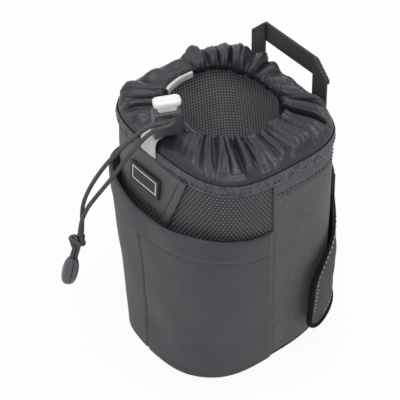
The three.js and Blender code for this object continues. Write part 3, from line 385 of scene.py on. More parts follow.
class Wall:
    """Wall of the pouch: run along it from the front centre towards +X, height, offset outwards."""

    # Powers of the height's share by which the plan goes over from base to rim
    width_power = 0.8
    lean_power = 1.4
    front_power = 3
    back_power = 1.5
    nudge = 1.5  # step along the run that shows which way the wall goes

    def __init__(self, sizes):
        self.height = sizes.body_height
        self.sizes = sizes
        self.plan = ClosedPlan(lambda angle: self.plan_point(angle, np.full_like(angle, self.height / 2)))
        self.girth = self.plan.girth
        self.back = self.girth / 2

    def half(self, z):
        rise = np.maximum(z / self.height, 0) ** self.width_power
        low, high = self.sizes.base_half_width, self.sizes.rim_half_width
        return low + (high - low) * rise

    def lean(self, z):
        return self.sizes.rim_lean * np.maximum(z / self.height, 0) ** self.lean_power

    def plan_point(self, angle, z):
        t = np.maximum(z / self.height, 0)
        low, high = self.sizes.base_front, self.sizes.rim_front
        front = low + (high - low) * t**self.front_power
        low, high = self.sizes.base_back, self.sizes.rim_back
        back = low + (high - low) * t**self.back_power
        x, y = superellipse(angle, BASE_POWER + (RIM_POWER - BASE_POWER) * t, self.half(z), front, back)
        return x + self.lean(z), y

    def slanted(self, run, z):
        """Run at a height, with the side seams standing farther back towards the base."""
        run = np.mod(run + self.back, self.girth) - self.back
        seam, reach = self.sizes.side_seam, np.abs(run)
        before = np.sin(math.pi / 2 * np.minimum(reach / seam, 1))
        behind = np.cos(math.pi / 2 * np.clip((reach - seam) / SEAM_FADE, 0, 1)) ** 2
        slant = self.sizes.seam_slant * before * behind * (1 - z / self.height)
        return run + np.sign(run) * slant

    def at(self, run, z, off):
        run, z, off = np.broadcast_arrays(*(np.asarray(v, float) for v in (run, z, off)))
        run = self.slanted(run, z)
        x, y = self.plan_point(self.plan.angle(run), z)
        ax, ay = self.plan_point(self.plan.angle(run + self.nudge), z)
        bx, by = self.plan_point(self.plan.angle(run - self.nudge), z)
        reach = np.hypot(ax - bx, ay - by)
        return np.stack([x + off * (ay - by) / reach, y - off * (ax - bx) / reach, z], axis=-1)

    def run_for(self, distance, z):
        """Run that lies a true distance from the middle of the front or back at a height."""
        return distance * self.half(self.height / 2) / self.half(np.asarray(z, float))

    def line(self, run, z, off):
        """Points on the wall and the directions that face out of it."""
        points = self.at(run, z, off)
        return points, self.at(run, z, np.asarray(off) + 1.0) - points


def mouth_plan(sizes):
    half, depth = sizes.mouth_half_width, sizes.mouth_half_depth

    def point_at(angle):
        x, y = superellipse(angle, MOUTH_POWER, half, depth, depth)
        return x, y + MOUTH_BACK_SHIFT

    return ClosedPlan(point_at)


# Mesh helpers


def cloth_grid(columns, rows, place, size, loop=False):
    """Grid whose points go where place(u, v) says, with a UV map in millimetres."""
    bm = bmesh.new()
    weave = bm.loops.layers.uv.new(WEAVE_MAP)
    bmesh.ops.create_grid(bm, x_segments=columns, y_segments=rows, size=0.5)
    flat = np.array([vert.co[:2] for vert in bm.verts]) + 0.5
    for face in bm.faces:
        for corner in face.loops:
            at = corner.vert.co
            corner[weave].uv = ((at.x + 0.5) * size[0], (at.y + 0.5) * size[1])
    for vert, point in zip(bm.verts, place(flat[:, 0], flat[:, 1])):
        vert.co = point
    if loop:
        bmesh.ops.remove_doubles(bm, verts=bm.verts, dist=1e-3)
    return bm


def close_tube(bm):
    """Fill the open ends of a tube and turn its faces out."""
    bmesh.ops.holes_fill(bm, edges=[e for e in bm.edges if e.is_boundary], sides=0)
    bmesh.ops.recalc_face_normals(bm, faces=bm.faces)


def sweep(path, section, sides, girth):
    """Tube along a path; section(turn, share) gives its two offsets from the path."""
    path = np.asarray(path, float)
    face = np.array(SWEEP_FACE)
    sides_to, faces_to = [], []
    for direction in unit(np.gradient(path, axis=0)):
        side = np.cross(direction, face)
        side /= np.linalg.norm(side)
        face = np.cross(side, direction)
        sides_to.append(side)
        faces_to.append(face)
    sides_to, faces_to = np.array(sides_to), np.array(faces_to)

    def place(u, v):
        k = row_at(v, path)
        a, b = section(TAU * u, v)
        return path[k] + a[:, None] * sides_to[k] + b[:, None] * faces_to[k]

    bm = cloth_grid(sides, len(path) - 1, place, (girth, path_length(path)), loop=True)
    close_tube(bm)
    return bm


def cord_tube(path, diameter, sides=20):
    """Braided cord: strands cross over each other round the tube."""
    path = np.asarray(path, float)
    total = path_length(path)
    radius = diameter / 2

    def section(turn, share):
        run = share * total * TAU / BRAID_LAY
        braid = np.maximum(np.cos(4 * turn + 2 * run), np.cos(4 * turn - 2 * run))
        r = radius * (1 - BRAID_RELIEF + BRAID_RELIEF * braid)
        return r * np.cos(turn), r * np.sin(turn)

    return sweep(path, section, sides, math.pi * diameter)


def rounded_box(width, depth, height, corner, edge):
    """Box standing on the origin, with rounded upright corners and softened edges."""
    bm = bmesh.new()
    bmesh.ops.create_cube(bm, size=1)
    bmesh.ops.scale(bm, vec=(width, depth, height), verts=bm.verts)
    bmesh.ops.translate(bm, vec=(0, 0, height / 2), verts=bm.verts)
    upright = [e for e in bm.edges if abs(e.verts[0].co.z - e.verts[1].co.z) > height / 2]
    soften(bm, upright, corner, 5)
    if edge:
        soften(bm, flat_rims(bm, 2), edge, 4)
    return bm


def soften(bm, edges, width, segments):
    bmesh.ops.bevel(
        bm, geom=edges, offset=width, affect="EDGES", segments=segments, profile=0.5, material=-1
    )


def flat_rims(bm, axis):
    """Edges round the end faces of a shape that was drawn out along an axis."""
    ends = [f for f in bm.faces if abs(f.normal[axis]) > 0.99]
    return list({e for f in ends for e in f.edges})


def plate(outline, depth, uv_axes=(0, 2)):
    """Flat shape in X and Z with a depth in Y about its middle."""
    bm = bmesh.new()
    weave = bm.loops.layers.uv.new(WEAVE_MAP)
    face = bm.faces.new([bm.verts.new((x, -depth / 2, z)) for x, z in outline])
    drawn = bmesh.ops.extrude_face_region(bm, geom=[face])["geom"]
    moved = [v for v in drawn if isinstance(v, bmesh.types.BMVert)]
    bmesh.ops.translate(bm, vec=(0, depth, 0), verts=moved)
    bmesh.ops.recalc_face_normals(bm, faces=bm.faces)
    paint_map(bm, weave, uv_axes)
    return bm


def paint_map(bm, weave, axes):
    for face in bm.faces:
        for corner in face.loops:
            corner[weave].uv = [corner.vert.co[k] for k in axes]


def turn_faces(bm, axis, sign):
    """Turn the faces if most of them look the wrong way along an axis."""
    for face in bm.faces:
        face.normal_update()
    if sign * sum(face.normal[axis] for face in bm.faces) < 0:
        bmesh.ops.reverse_faces(bm, faces=bm.faces)


def combine(shape, tool, operation):
    """The shape joined with the tool's shape, or with it taken out."""
    made = []
    for part in (shape, tool):
        mesh = bpy.data.meshes.new("part")
        part.to_mesh(mesh)
        part.free()
        made.append(bpy.data.objects.new("part", mesh))
        bpy.context.scene.collection.objects.link(made[-1])
    step = made[0].modifiers.new("combine", "BOOLEAN")
    step.operation = operation
    step.object = made[1]
    step.solver = "EXACT"
    result = bmesh.new()
    result.from_object(made[0], bpy.context.evaluated_depsgraph_get())
    for part in made:
        mesh = part.data
        bpy.data.objects.remove(part)
        bpy.data.meshes.remove(mesh)
    return result


def add_stitches(bm, points, facing, size, gap=STITCH_GAP, zigzag=0.0):
    """Thread humps along a line that lies on cloth."""
    run = lengths_along(points)
    count = int(run[-1] // (size + gap))

    def row_value(at, rows):
        """What the rows say at a length along the line."""
        return Vector([np.interp(at, run, rows[:, i]) for i in range(3)])

    for k in range(count):
        middle = (k + 0.5) * run[-1] / count
        along = (row_value(middle + 0.5, points) - row_value(middle - 0.5, points)).normalized()
        out = row_value(middle, facing).normalized()
        side = along.cross(out).normalized()
        along = (along + (zigzag if k % 2 else -zigzag) * side).normalized()
        side = along.cross(out).normalized()
        turn = Matrix((side * THREAD_HALF[0], out * THREAD_HALF[1], along * size / 2)).transposed().to_4x4()
        bmesh.ops.create_uvsphere(
            bm, u_segments=8, v_segments=5, radius=1,
            matrix=Matrix.Translation(row_value(middle, points)) @ turn,
        )


def add_piece(name, bm, finish, body="pouch", replaces=(), thickness=0.0, edge=0.0, sharp=None):
    """Finished piece in metres with its finish, cloth thickness and place in the frame."""
    name = f"fine_{name}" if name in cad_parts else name
    mesh = bpy.data.meshes.new(name)
    bm.to_mesh(mesh)
    bm.free()
    mesh.transform(Matrix.Scale(MM, 4))
    mesh.shade_smooth()
    if sharp is not None:
        mesh.set_sharp_from_angle(angle=math.radians(sharp))
    mesh.materials.append(material(finish))
    piece = bpy.data.objects.new(name, mesh)
    bpy.context.scene.collection.objects.link(piece)
    if thickness:
        wall = piece.modifiers.new("thickness", "SOLIDIFY")
        wall.thickness = thickness * MM
        wall.offset = -1
    if edge:
        rim = piece.modifiers.new("edge", "BEVEL")
        rim.width = edge * MM
        rim.segments = 2
        rim.limit_method = "ANGLE"
        rim.angle_limit = math.radians(50)
    if replaces:
        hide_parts(*replaces)
    if body:
        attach(piece, body)
    return piece


# Finishes


class Finish:
    """One material and the nodes that drive it."""

    def __init__(self, name, roughness, **sockets):
        self.material = bpy.data.materials.new(name)
        self.material.use_nodes = True
        self.nodes = self.material.node_tree.nodes
        self.links = self.material.node_tree.links
        self.shader = self.nodes["Principled BSDF"]
        self.shader.inputs["Roughness"].default_value = roughness
        for socket, value in sockets.items():
            self.shader.inputs[socket.replace("_", " ")].default_value = value

    def add(self, kind, inputs, **settings):
        node = self.nodes.new("ShaderNode" + kind)
        for key, value in settings.items():
            setattr(node, key, value)
        for key, value in inputs.items():
            if isinstance(value, bpy.types.NodeSocket):
                self.links.new(value, node.inputs[key])
            else:
                node.inputs[key].default_value = value
        return node

    def math(self, operation, a, b=0.0, c=0.0):
        return self.add("Math", {0: a, 1: b, 2: c}, operation=operation).outputs[0]

    def weave(self):
        """The piece's own map, in millimetres across and along."""
        flat = self.add("UVMap", {}, uv_map=WEAVE_MAP).outputs[0]
        parts = self.add("SeparateXYZ", {0: flat})
        return parts.outputs["X"], parts.outputs["Y"]

    def wave(self, along, pitch):
        angle = self.math("MULTIPLY", along, TAU / pitch)
        return self.math("MULTIPLY_ADD", self.math("SINE", angle), 0.5, 0.5)

    def grain(self, size, detail=2.0):
        """Uneven specks of a size in millimetres."""
        place = self.add("TexCoord", {}).outputs["Object"]
        noise = self.add("TexNoise", {"Vector": place, "Scale": 1 / (size * MM), "Detail": detail})
        return noise.outputs[0]

    def specks(self, size, detail=2.0):
        """The same specks with their full range of light and dark."""
        spread = {"Value": self.grain(size, detail), "From Min": 0.33, "From Max": 0.67}
        return self.add("MapRange", spread).outputs[0]

    def mixed(self, a, b, share):
        """a and b in proportion, share being b's."""
        rest = self.math("MULTIPLY", a, 1 - share)
        return self.math("MULTIPLY_ADD", b, share, rest)

    def paint(self, tint, height, dark, light):
        """Colour between a darker and a lighter tint."""
        low = [c * dark for c in tint] + [1]
        high = [min(c * light, 1) for c in tint] + [1]
        # A Mix node has its two colours at inputs 6 and 7 and the mixed one at output 2
        mix = self.add("Mix", {"Factor": height, 6: low, 7: high}, data_type="RGBA")
        self.links.new(mix.outputs[2], self.shader.inputs["Base Color"])

    def gloss(self, height, low, high):
        spread = self.add("MapRange", {"Value": height, "To Min": low, "To Max": high})
        self.links.new(spread.outputs[0], self.shader.inputs["Roughness"])

    def bump(self, height, depth):
        node = self.add("Bump", {"Height": height, "Distance": depth * MM, "Strength": 1.0})
        self.links.new(node.outputs[0], self.shader.inputs["Normal"])


def twill(f, tint):
    u, v = f.weave()
    lines = f.wave(f.math("ADD", u, v), 2.0)
    threads = f.wave(f.math("SUBTRACT", u, v), 1.2)
    cloth = f.mixed(lines, threads, 0.3)
    height = f.mixed(cloth, f.specks(1.2, 3.0), 0.45)
    f.paint(tint, f.mixed(height, f.specks(24), 0.12), 0.22, 1.8)
    f.gloss(height, 0.92, 0.72)
    f.bump(cloth, 0.14)


def ribbed_twill(f, tint):
    u, v = f.weave()
    ribs = f.wave(f.math("ADD", u, f.math("MULTIPLY", v, 0.45)), 2.6)
    height = f.mixed(ribs, f.specks(1.1, 3.0), 0.35)
    f.paint(tint, height, 0.55, 1.45)
    f.gloss(height, 0.92, 0.76)
    f.bump(ribs, 0.2)


def raised_mesh(f, tint):
    pad = f.add("Attribute", {}, attribute_name=RAISED).outputs["Fac"]
    height = f.mixed(pad, f.grain(0.5), 0.22)
    # Colour follows the pads' height: painted shade in the pits between the pads and painted light on the
    # pads.
    f.paint(tint, height, 0.22, 1.4)
    f.gloss(pad, 0.8, 0.42)
    u, v = f.weave()
    f.bump(f.mixed(f.wave(u, 0.45), f.wave(v, 0.45), 0.5), 0.05)


def knit(f, tint):
    u, v = f.weave()
    ribs = f.wave(u, 0.75)
    loops = f.mixed(ribs, f.wave(v, 0.6), 0.4)
    height = f.mixed(loops, f.specks(1.3, 3.0), 0.4)
    f.paint(tint, f.mixed(height, f.specks(34, 1.0), 0.4), 0.82, 1.18)
    f.gloss(height, 0.86, 0.7)
    f.bump(loops, 0.1)


def coated(f, tint):
    u, v = f.weave()
    cloth = f.mixed(f.wave(u, 0.5), f.wave(v, 0.5), 0.5)
    f.paint(tint, f.mixed(f.grain(18, 3.0), cloth, 0.2), 0.84, 1.16)
    f.gloss(f.grain(4), 0.62, 0.5)
    f.bump(f.mixed(cloth, f.grain(0.5), 0.5), 0.05)


def ripstop(f, tint):
    u, v = f.weave()
    cloth = f.mixed(f.wave(u, 0.7), f.wave(v, 0.7), 0.5)
    bars = f.math("POWER", f.math("MAXIMUM", f.wave(u, 3.4), f.wave(v, 3.4)), 9.0)
    height = f.mixed(cloth, bars, 0.4)
    f.paint(tint, f.mixed(height, f.specks(1.6, 3.0), 0.5), 0.45, 1.55)
    f.gloss(f.specks(1.8, 3.0), 0.26, 0.5)
    f.bump(f.mixed(height, f.specks(1.4, 2.0), 0.5), 0.12)


def crinkled_tape(f, tint):
    creases = f.specks(1.7, 4.0)
    f.paint(tint, f.mixed(creases, f.specks(7), 0.3), 0.35, 1.7)
    f.gloss(creases, 0.6, 0.36)
    f.bump(creases, 0.35)


def webbing(f, tint):
    u, v = f.weave()
    ribs = f.wave(v, 1.9)
    cords = f.wave(u, 2.1)
    height = f.math("MULTIPLY", f.math("SQRT", ribs), f.math("MULTIPLY_ADD", cords, 0.55, 0.45))
    f.paint(tint, f.mixed(height, f.specks(1.1), 0.3), 0.45, 1.7)
    f.gloss(height, 0.85, 0.62)
    f.bump(height, 0.3)


def braid(f, tint):
    u, v = f.weave()
    left = f.wave(f.math("ADD", f.math("MULTIPLY", u, 1.2), v), 1.75)
    right = f.wave(f.math("SUBTRACT", f.math("MULTIPLY", u, 1.2), v), 1.75)
    height = f.math("MAXIMUM", left, right)
    f.paint(tint, f.mixed(height, f.grain(0.5), 0.35), 0.42, 1.4)
    f.gloss(height, 0.8, 0.48)
    f.bump(height, 0.2)


def grid_lining(f, tint):
    u, v = f.weave()
    soft = f.math("SQRT", f.math("MULTIPLY", f.wave(u, 2.6), f.wave(v, 2.6)))
    height = f.mixed(soft, f.specks(1.0), 0.15)
    # The lining's tint carries painted light for the pouch's inside.
    f.paint(tint, f.mixed(height, f.specks(30), 0.1), 0.2, 1.9)
    f.gloss(soft, 0.85, 0.6)
    f.bump(soft, 0.35)


def closed_foam(f, tint):
    cells = f.grain(0.6, 4.0)
    f.paint(tint, f.mixed(cells, f.grain(20), 0.4), 0.7, 1.25)
    f.bump(cells, 0.25)


def moulded(f, tint):
    speckle = f.grain(0.35, 3.0)
    f.paint(tint, f.mixed(f.grain(7, 3.0), speckle, 0.3), 0.88, 1.1)
    low = f.shader.inputs["Roughness"].default_value
    f.gloss(f.grain(2.5, 3.0), low - 0.08, low + 0.1)
    f.bump(speckle, 0.03)


def moulded_rubber(f, tint):
    speckle = f.grain(0.3, 4.0)
    f.paint(tint, f.mixed(speckle, f.grain(8), 0.5), 0.75, 1.25)
    f.gloss(speckle, 0.5, 0.7)
    f.bump(speckle, 0.06)


def satin_ribbon(f, tint):
    u, v = f.weave()
    lines = f.mixed(f.wave(v, 0.5), f.wave(u, 0.35), 0.35)
    f.paint(tint, f.mixed(lines, f.grain(6), 0.4), 0.86, 1.06)
    f.gloss(lines, 0.5, 0.34)
    f.bump(lines, 0.05)


def twisted_thread(f, tint):
    twist = f.grain(0.35, 1.0)
    f.paint(tint, twist, 0.6, 1.4)
    f.bump(twist, 0.1)


def pile(f, tint):
    fuzz = f.grain(0.35, 4.0)
    f.paint(tint, f.mixed(fuzz, f.grain(3.0, 3.0), 0.5), 0.35, 1.9)
    f.bump(fuzz, 0.5)


def drawn_wire(f, tint):
    lines = f.grain(0.25, 2.0)
    f.paint(tint, lines, 0.85, 1.1)
    f.gloss(lines, 0.22, 0.4)


# Each finish: the function that draws it, its colour in the sidebar, its roughness and other sockets
FINISHES = {
    "twill": (twill, "twill", 0.85, {"Sheen_Weight": 0.12}),
    "ribbed_twill": (ribbed_twill, "flap", 0.85, {}),
    "raised_mesh": (raised_mesh, "mesh", 0.6, {}),
    "stretch_knit": (knit, "stretch", 0.8, {"Sheen_Weight": 0.12}),
    "coated_cloth": (coated, "shield", 0.55, {}),
    "ripstop": (ripstop, "nylon", 0.34, {"Specular_IOR_Level": 0.4}),
    "crinkled_tape": (crinkled_tape, "tape", 0.5, {}),
    "lining": (grid_lining, "lining", 0.75, {}),
    "webbing": (webbing, "webbing", 0.75, {}),
    "drawcord": (braid, "cord", 0.65, {}),
    "velour": (pile, "velour", 0.95, {"Specular_IOR_Level": 0.2}),
    "foam": (closed_foam, "foam", 0.95, {}),
    "black_plastic": (moulded, "black_plastic", 0.36, {}),
    "glossy_plastic": (moulded, "glossy_plastic", 0.16, {}),
    "white_plastic": (moulded, "white_plastic", 0.32, {}),
    "rubber": (moulded_rubber, "rubber", 0.6, {}),
    "pale_webbing": (webbing, "pale_webbing", 0.8, {}),
    "ribbon": (satin_ribbon, "ribbon", 0.45, {}),
    "frame_print": (moulded, "ribbon", 0.5, {}),
    "dark_thread": (twisted_thread, "thread", 0.7, {}),
    "pale_thread": (twisted_thread, "pale_thread", 0.7, {}),
    "steel": (drawn_wire, "steel", 0.3, {"Metallic": 1.0}),
}


def material(finish):
    """The finish's material, made the first time that it is asked for."""
    name = f"fine_{finish}"
    found = bpy.data.materials.get(name)
    if found:
        return found
    draw, tint, roughness, sockets = FINISHES[finish]
    made = Finish(name, roughness, **sockets)
    draw(made, list(getattr(bpy.context.scene.pouch_colours, tint)))
    return made.material


# Stage


class POUCH_OT_stage(bpy.types.Operator):
    """Clear the startup objects and set the floor, the light and the camera"""

    bl_idname = "pouch.stage"
    bl_label = "Stage"

    def execute(self, context):
        for name in ("Cube", "Light", "Camera"):
            if name in bpy.data.objects:
                bpy.data.objects.remove(bpy.data.objects[name])
        context.scene.view_settings.view_transform = "Standard"
        self.set_camera(context.scene)
        self.set_world(context.scene)
        self.set_floor(context.scene)
        self.set_lamps(context.scene)
        return {"FINISHED"}

    def set_camera(self, scene):
        data = bpy.data.cameras.new("camera")
        data.sensor_width = 36
        data.lens = VIEW_LENS
        data.shift_x, data.shift_y = VIEW_SHIFT
        turn, lift = math.radians(VIEW_AZIMUTH), math.radians(VIEW_ELEVATION)
        back = Vector((math.sin(turn) * math.cos(lift), -math.cos(turn) * math.cos(lift), math.sin(lift)))
        camera = bpy.data.objects.new("camera", data)
        camera.location = Vector(VIEW_TARGET) + VIEW_DISTANCE * back
        camera.rotation_euler = back.to_track_quat("Z", "Y").to_euler()
        scene.collection.objects.link(camera)
        scene.camera = camera

    def seen_directly(self, nodes, links):
        """One for rays that show the background, straight or by reflection."""
        path = nodes.new("ShaderNodeLightPath")
        total = path.outputs["Is Camera Ray"]
        for ray in ("Is Glossy Ray", "Is Transmission Ray"):
            either = nodes.new("ShaderNodeMath")
            either.operation = "MAXIMUM"
            links.new(total, either.inputs[0])
            links.new(path.outputs[ray], either.inputs[1])
            total = either.outputs[0]
        return total

    def set_world(self, scene):
        world = bpy.data.worlds.new("studio")
        world.use_nodes = True
        scene.world = world
        nodes, links = world.node_tree.nodes, world.node_tree.links
        light = nodes["Background"]
        light.inputs["Color"].default_value = (1, 1, 1, 1)
        light.inputs["Strength"].default_value = WORLD_LIGHT
        white = nodes.new("ShaderNodeBackground")
        white.inputs["Color"].default_value = (1, 1, 1, 1)
        mix = nodes.new("ShaderNodeMixShader")
        links.new(self.seen_directly(nodes, links), mix.inputs[0])
        links.new(light.outputs[0], mix.inputs[1])
        links.new(white.outputs[0], mix.inputs[2])
        links.new(mix.outputs[0], nodes["World Output"].inputs[0])

    def set_floor(self, scene):
        bm = bmesh.new()
        bmesh.ops.create_grid(bm, x_segments=1, y_segments=1, size=FLOOR_HALF)
        bmesh.ops.translate(bm, vec=(0, 0, -FLOOR_DROP), verts=bm.verts)
        mesh = bpy.data.meshes.new("floor")
        bm.to_mesh(mesh)
        bm.free()
        paper = bpy.data.materials.new("pale_floor")
        paper.use_nodes = True
        nodes, links = paper.node_tree.nodes, paper.node_tree.links
        matte = nodes["Principled BSDF"]
        matte.inputs["Base Color"].default_value = (FLOOR_GREY, FLOOR_GREY, FLOOR_GREY, 1)
        matte.inputs["Roughness"].default_value = 1
        matte.inputs["Specular IOR Level"].default_value = 0
        white = nodes.new("ShaderNodeEmission")
        mix = nodes.new("ShaderNodeMixShader")
        share = nodes.new("ShaderNodeMath")
        share.operation = "MULTIPLY"
        share.inputs[1].default_value = FLOOR_WHITE
        links.new(self.seen_directly(nodes, links), share.inputs[0])
        links.new(share.outputs[0], mix.inputs[0])
        links.new(matte.outputs[0], mix.inputs[1])
        links.new(white.outputs[0], mix.inputs[2])
        links.new(mix.outputs[0], nodes["Material Output"].inputs[0])
        mesh.materials.append(paper)
        floor = bpy.data.objects.new("floor", mesh)
        scene.collection.objects.link(floor)

    def set_lamps(self, scene):
        for name, place, size, power in LAMPS:
            data = bpy.data.lights.new(name, "AREA")
            data.shape = "DISK"
            data.size = size
            data.energy = power
            lamp = bpy.data.objects.new(name, data)
            lamp.location = place
            aim = Vector(place) - Vector(VIEW_TARGET)
            lamp.rotation_euler = aim.to_track_quat("Z", "Y").to_euler()
            scene.collection.objects.link(lamp)


# Drawcord


def lock_frame():
    return Matrix.Translation(LOCK_PLACE) @ Matrix.Rotation(math.radians(LOCK_TURN), 4, "Z")


def lock_point(x, y, z):
    return tuple(lock_frame() @ Vector((x, y, z)))


def joined_shapes(*shapes):
    """Several shapes as one mesh."""
    whole = shapes[0]
    for shape in shapes[1:]:
        mesh = bpy.data.meshes.new("part")
        shape.to_mesh(mesh)
        shape.free()
        whole.from_mesh(mesh)
        bpy.data.meshes.remove(mesh)
    return whole


class POUCH_OT_cords(bpy.types.Operator):
    """Make the free cord tails, their knot and cord end, and the cord in the tunnel"""

    bl_idname = "pouch.cords"
    bl_label = "Drawcord"

    knot_radius = 3.3
    knot_pitch = 3.4
    knot_turns = 2.8
    over_half = (5.2, 5.0)  # half height and half width of the turn laid over the knot
    over_span = (-0.7, 1.25)  # its start and end, in half turns
    lead_apart = 0.49  # each lead to the middle, as a share of the cord
    lead_in_knot = 3
    lead_in_end = 2.5
    end_edge = 0.9
    end_taper = 0.12

    def execute(self, context):
        sizes = in_millimetres(context.scene.pouch_sizes)
        self.cord = sizes.cord
        on_cord = [self.make_knot(), *self.make_leads(), *self.make_cord_end()]
        self.make_tail("drawcord_tail_upper", UPPER_TAIL, -CORD_SPACING / 2, on_cord)
        self.make_tail("drawcord_tail_lower", LOWER_TAIL, CORD_SPACING / 2, [])
        self.make_loop(sizes)
        return {"FINISHED"}

    def make_tail(self, name, route, x, pieces):
        """Tail from inside the lock to the knot."""
        path = smooth_path([lock_point(x, 0, CORD_UP), lock_point(x, -3, CORD_UP), *route], 0.7)
        piece = add_piece(name, cord_tube(path, self.cord), "drawcord", replaces=[name])

    def make_loop(self, sizes):
        mouth = mouth_plan(sizes)
        stops = np.linspace(TUNNEL_FROM, mouth.girth - TUNNEL_FROM, 27)
        x, y = mouth.point(stops)
        around = np.stack([x, y, np.full_like(x, MOUTH_HEIGHT)], axis=1)
        half = CORD_SPACING / 2
        route = [
            lock_point(half, 0, CORD_UP), *RIGHT_RISE, *around,
            *LEFT_RISE[::-1], lock_point(-half, 0, CORD_UP),
        ]
        tube = cord_tube(smooth_path(route, 0.9), self.cord, sides=16)
        add_piece("tunnel_cord", tube, "drawcord", replaces=["drawcord_loop"])

    def axes(self):
        """Directions from the cord end's front half to its back half and across it, and its turn."""
        turn, tilt = math.radians(CORD_FACING), math.radians(CORD_END_TILT)
        upright = Matrix.Rotation(turn, 3, "Z")
        end = upright @ Matrix.Rotation(-tilt, 3, "X")
        return upright @ Vector((0, 1, 0)), upright @ Vector((1, 0, 0)), end

    def make_knot(self):
        """Overhand knot: the cord wound round itself, with one turn laid over the others."""
        back, across, _ = (np.array(a) for a in self.axes())
        up = np.array((0.0, 0.0, 1.0))
        centre = np.array(KNOT_CENTRE)
        turns = self.knot_turns
        t = np.linspace(0, TAU * turns, 90)[:, None]
        wound = centre + back * self.knot_pitch * (t / TAU - turns / 2)
        wound = wound + self.knot_radius * (np.cos(t) * up + np.sin(t) * across)
        w = np.linspace(*self.over_span, 50)[:, None] * math.pi
        high, wide = self.over_half
        over = centre + high * np.cos(w) * (0.5 * up - 0.85 * back)
        over = over + wide * np.sin(w) * (across + 0.25 * up)
        wraps = [cord_tube(even_points(line, 0.6), self.cord, 16) for line in (wound, over)]
        knot = joined_shapes(*wraps)
        return add_piece("drawcord_knot", knot, "drawcord", replaces=["drawcord_knot"])

    def make_leads(self):
        back, _, end = self.axes()
        made = []
        for name, side in (("drawcord_lead_left", -1), ("drawcord_lead_right", 1)):
            apart = side * self.lead_apart * self.cord
            top = Vector(KNOT_CENTRE) + apart * back - Vector((0, 0, self.lead_in_knot))
            entry = CORD_END_SIZE[2] / 2 - self.lead_in_end
            foot = Vector(CORD_END_CENTRE) + end @ Vector((0, apart, entry))
            middle = top.lerp(foot, 0.5)
            tube = cord_tube(smooth_path([top, middle, foot], 0.6), self.cord)
            made.append(add_piece(name, tube, "drawcord", replaces=[name]))
        return made

    def make_cord_end(self):
        """Two moulded halves side by side, full below and drawn in at the cord's entry."""
        _, _, end = self.axes()
        width, depth, height = CORD_END_SIZE
        made = []
        for name, side in (("cord_end_front", -1), ("cord_end_back", 1)):

            def place(u, v):
                lift = math.pi * (v - 0.5)
                ring = np.abs(np.cos(lift)) ** 0.62
                z = height / 2 * signed_power(np.sin(lift), 0.72)
                taper = 1 - self.end_taper * smoothstep(0, height / 2, z)
                x = width / 2 * ring * taper * signed_power(np.cos(TAU * u), 0.8)
                y = depth / 2 * ring * taper * signed_power(np.sin(TAU * u), 0.8)
                y = side * (y + np.hypot(y, self.end_edge * ring)) / 2 + side * GAP / 2
                return np.stack([x, y, z], axis=1)

            bm = cloth_grid(40, 40, place, (30, height), loop=True)
            bmesh.ops.recalc_face_normals(bm, faces=bm.faces)
            spot = Matrix.Translation(CORD_END_CENTRE) @ end.to_4x4()
            bmesh.ops.transform(bm, matrix=spot, verts=bm.verts)
            made.append(add_piece(name, bm, "glossy_plastic", replaces=[name]))
        return made


# Outer panels


